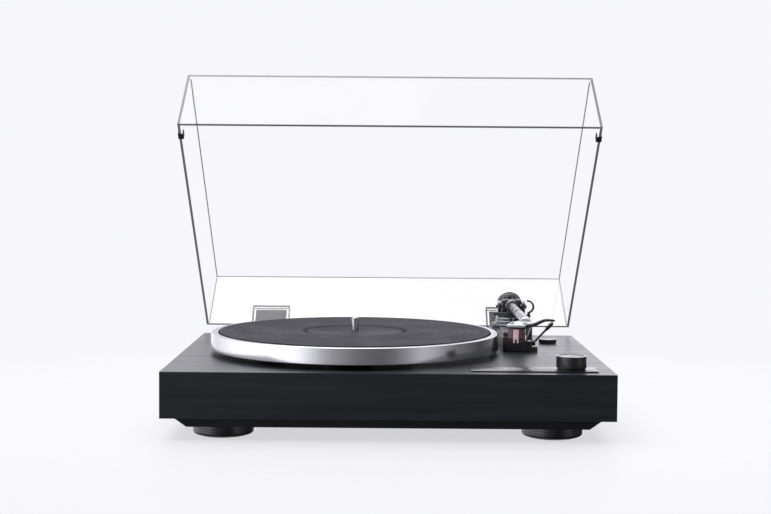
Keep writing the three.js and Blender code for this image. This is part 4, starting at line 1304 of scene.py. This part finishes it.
def make_world():
    """A soft studio: bright overhead, to the left and behind; dark in front and to the right."""
    world = bpy.data.worlds.new("studio")
    bpy.context.scene.world = world
    world.use_nodes = True
    nodes = Nodes(world.node_tree)
    split = nodes.add("ShaderNodeSeparateXYZ")
    nodes.link(nodes.add("ShaderNodeTexCoord").outputs["Generated"], split.inputs[0])
    toward_front = nodes.math("MULTIPLY", split.outputs["Y"], -1.0)
    angle = nodes.math("ARCTAN2", split.outputs["X"], toward_front)
    turn = nodes.math("MULTIPLY_ADD", angle, 1 / (2 * math.pi), 0.5)
    # Light level by turn: 0 and 1 are behind, 0.25 is left, 0.5 is the front and 0.75 is right.
    levels = (
        (0.0, 0.8), (0.03, 0.68), (0.11, 0.52), (0.17, 0.68), (0.22, 0.85), (0.33, 0.9), (0.36, 0.86),
        (0.385, 0.7), (0.41, 0.47), (0.435, 0.28), (0.46, 0.19), (0.51, 0.1), (0.56, 0.07),
        (0.59, 0.1), (0.62, 0.19), (0.65, 0.32), (0.68, 0.28), (0.71, 0.18), (0.745, 0.11),
        (0.83, 0.04), (0.89, 0.1), (0.93, 0.85), (0.96, 1.08), (1.0, 1.0))
    walls = nodes.add("ShaderNodeValToRGB")
    elements = walls.color_ramp.elements
    elements[0].position, elements[-1].position = 0.0, 1.0
    for position, _ in levels[1:-1]:
        elements.new(position)
    for element, (_, level) in zip(elements, levels):
        element.color = (level, level * 0.985, level * 1.055, 1)
    nodes.link(turn, walls.inputs[0])
    brighter = nodes.add("ShaderNodeVectorMath", operation="SCALE")
    nodes.link(nodes.ramp(split.outputs["Z"], -0.5, -0.16, 0.4, 1.8), brighter.inputs["Scale"])
    nodes.link(walls.outputs[0], brighter.inputs[0])
    overhead = nodes.ramp(split.outputs["Z"], 0.55, 0.9, 0.0, 2.0, interpolation_type="SMOOTHSTEP")
    total = nodes.add("ShaderNodeMix", data_type="RGBA", blend_type="ADD")
    total.inputs[0].default_value = 1.0
    nodes.link(brighter.outputs[0], total.inputs[6])
    nodes.link(overhead, total.inputs[7])
    shown = nodes.add("ShaderNodeMix", data_type="RGBA")
    shown.inputs[7].default_value = (*BACKDROP, 1)
    nodes.link(nodes.add("ShaderNodeLightPath").outputs["Is Camera Ray"], shown.inputs[0])
    nodes.link(total.outputs[2], shown.inputs[6])
    nodes.link(shown.outputs[2], world.node_tree.nodes["Background"].inputs["Color"])


def make_lights():
    light = bpy.data.lights.new("top_softbox", "AREA")
    light.shape = "RECTANGLE"
    light.size, light.size_y = 1.6, 1.2
    light.energy = 14
    softbox = bpy.data.objects.new("top_softbox", light)
    softbox.location = DECK * MM + Vector((-0.5, 0.1, 1.6))
    softbox.rotation_euler = (DECK * MM - softbox.location).to_track_quat("-Z", "Y").to_euler()
    bpy.context.scene.collection.objects.link(softbox)


def make_camera():
    """Straight on from the front, a little above the plinth, with a long lens."""
    data = bpy.data.cameras.new("camera")
    data.sensor_width = 36
    data.lens = 65.8
    data.clip_end = 50
    camera = bpy.data.objects.new("camera", data)
    pitch, yaw, roll = (math.radians(a) for a in (3.22, 0.04, 0.44))
    forward = Vector((math.sin(yaw) * math.cos(pitch), math.cos(yaw) * math.cos(pitch), -math.sin(pitch)))
    right = Vector((math.cos(yaw), -math.sin(yaw), 0))
    up = right.cross(forward)
    tilted_right = right * math.cos(roll) + up * math.sin(roll)
    tilted_up = up * math.cos(roll) - right * math.sin(roll)
    axes = Matrix((tilted_right, tilted_up, -forward)).transposed().to_4x4()
    camera.matrix_world = Matrix.Translation(DECK * MM + Vector((-0.0046, -1.4961, 0.1853))) @ axes
    bpy.context.scene.collection.objects.link(camera)
    bpy.context.scene.camera = camera


make_floor()
make_world()
make_lights()
make_camera()
bpy.context.scene.view_settings.view_transform = "Standard"
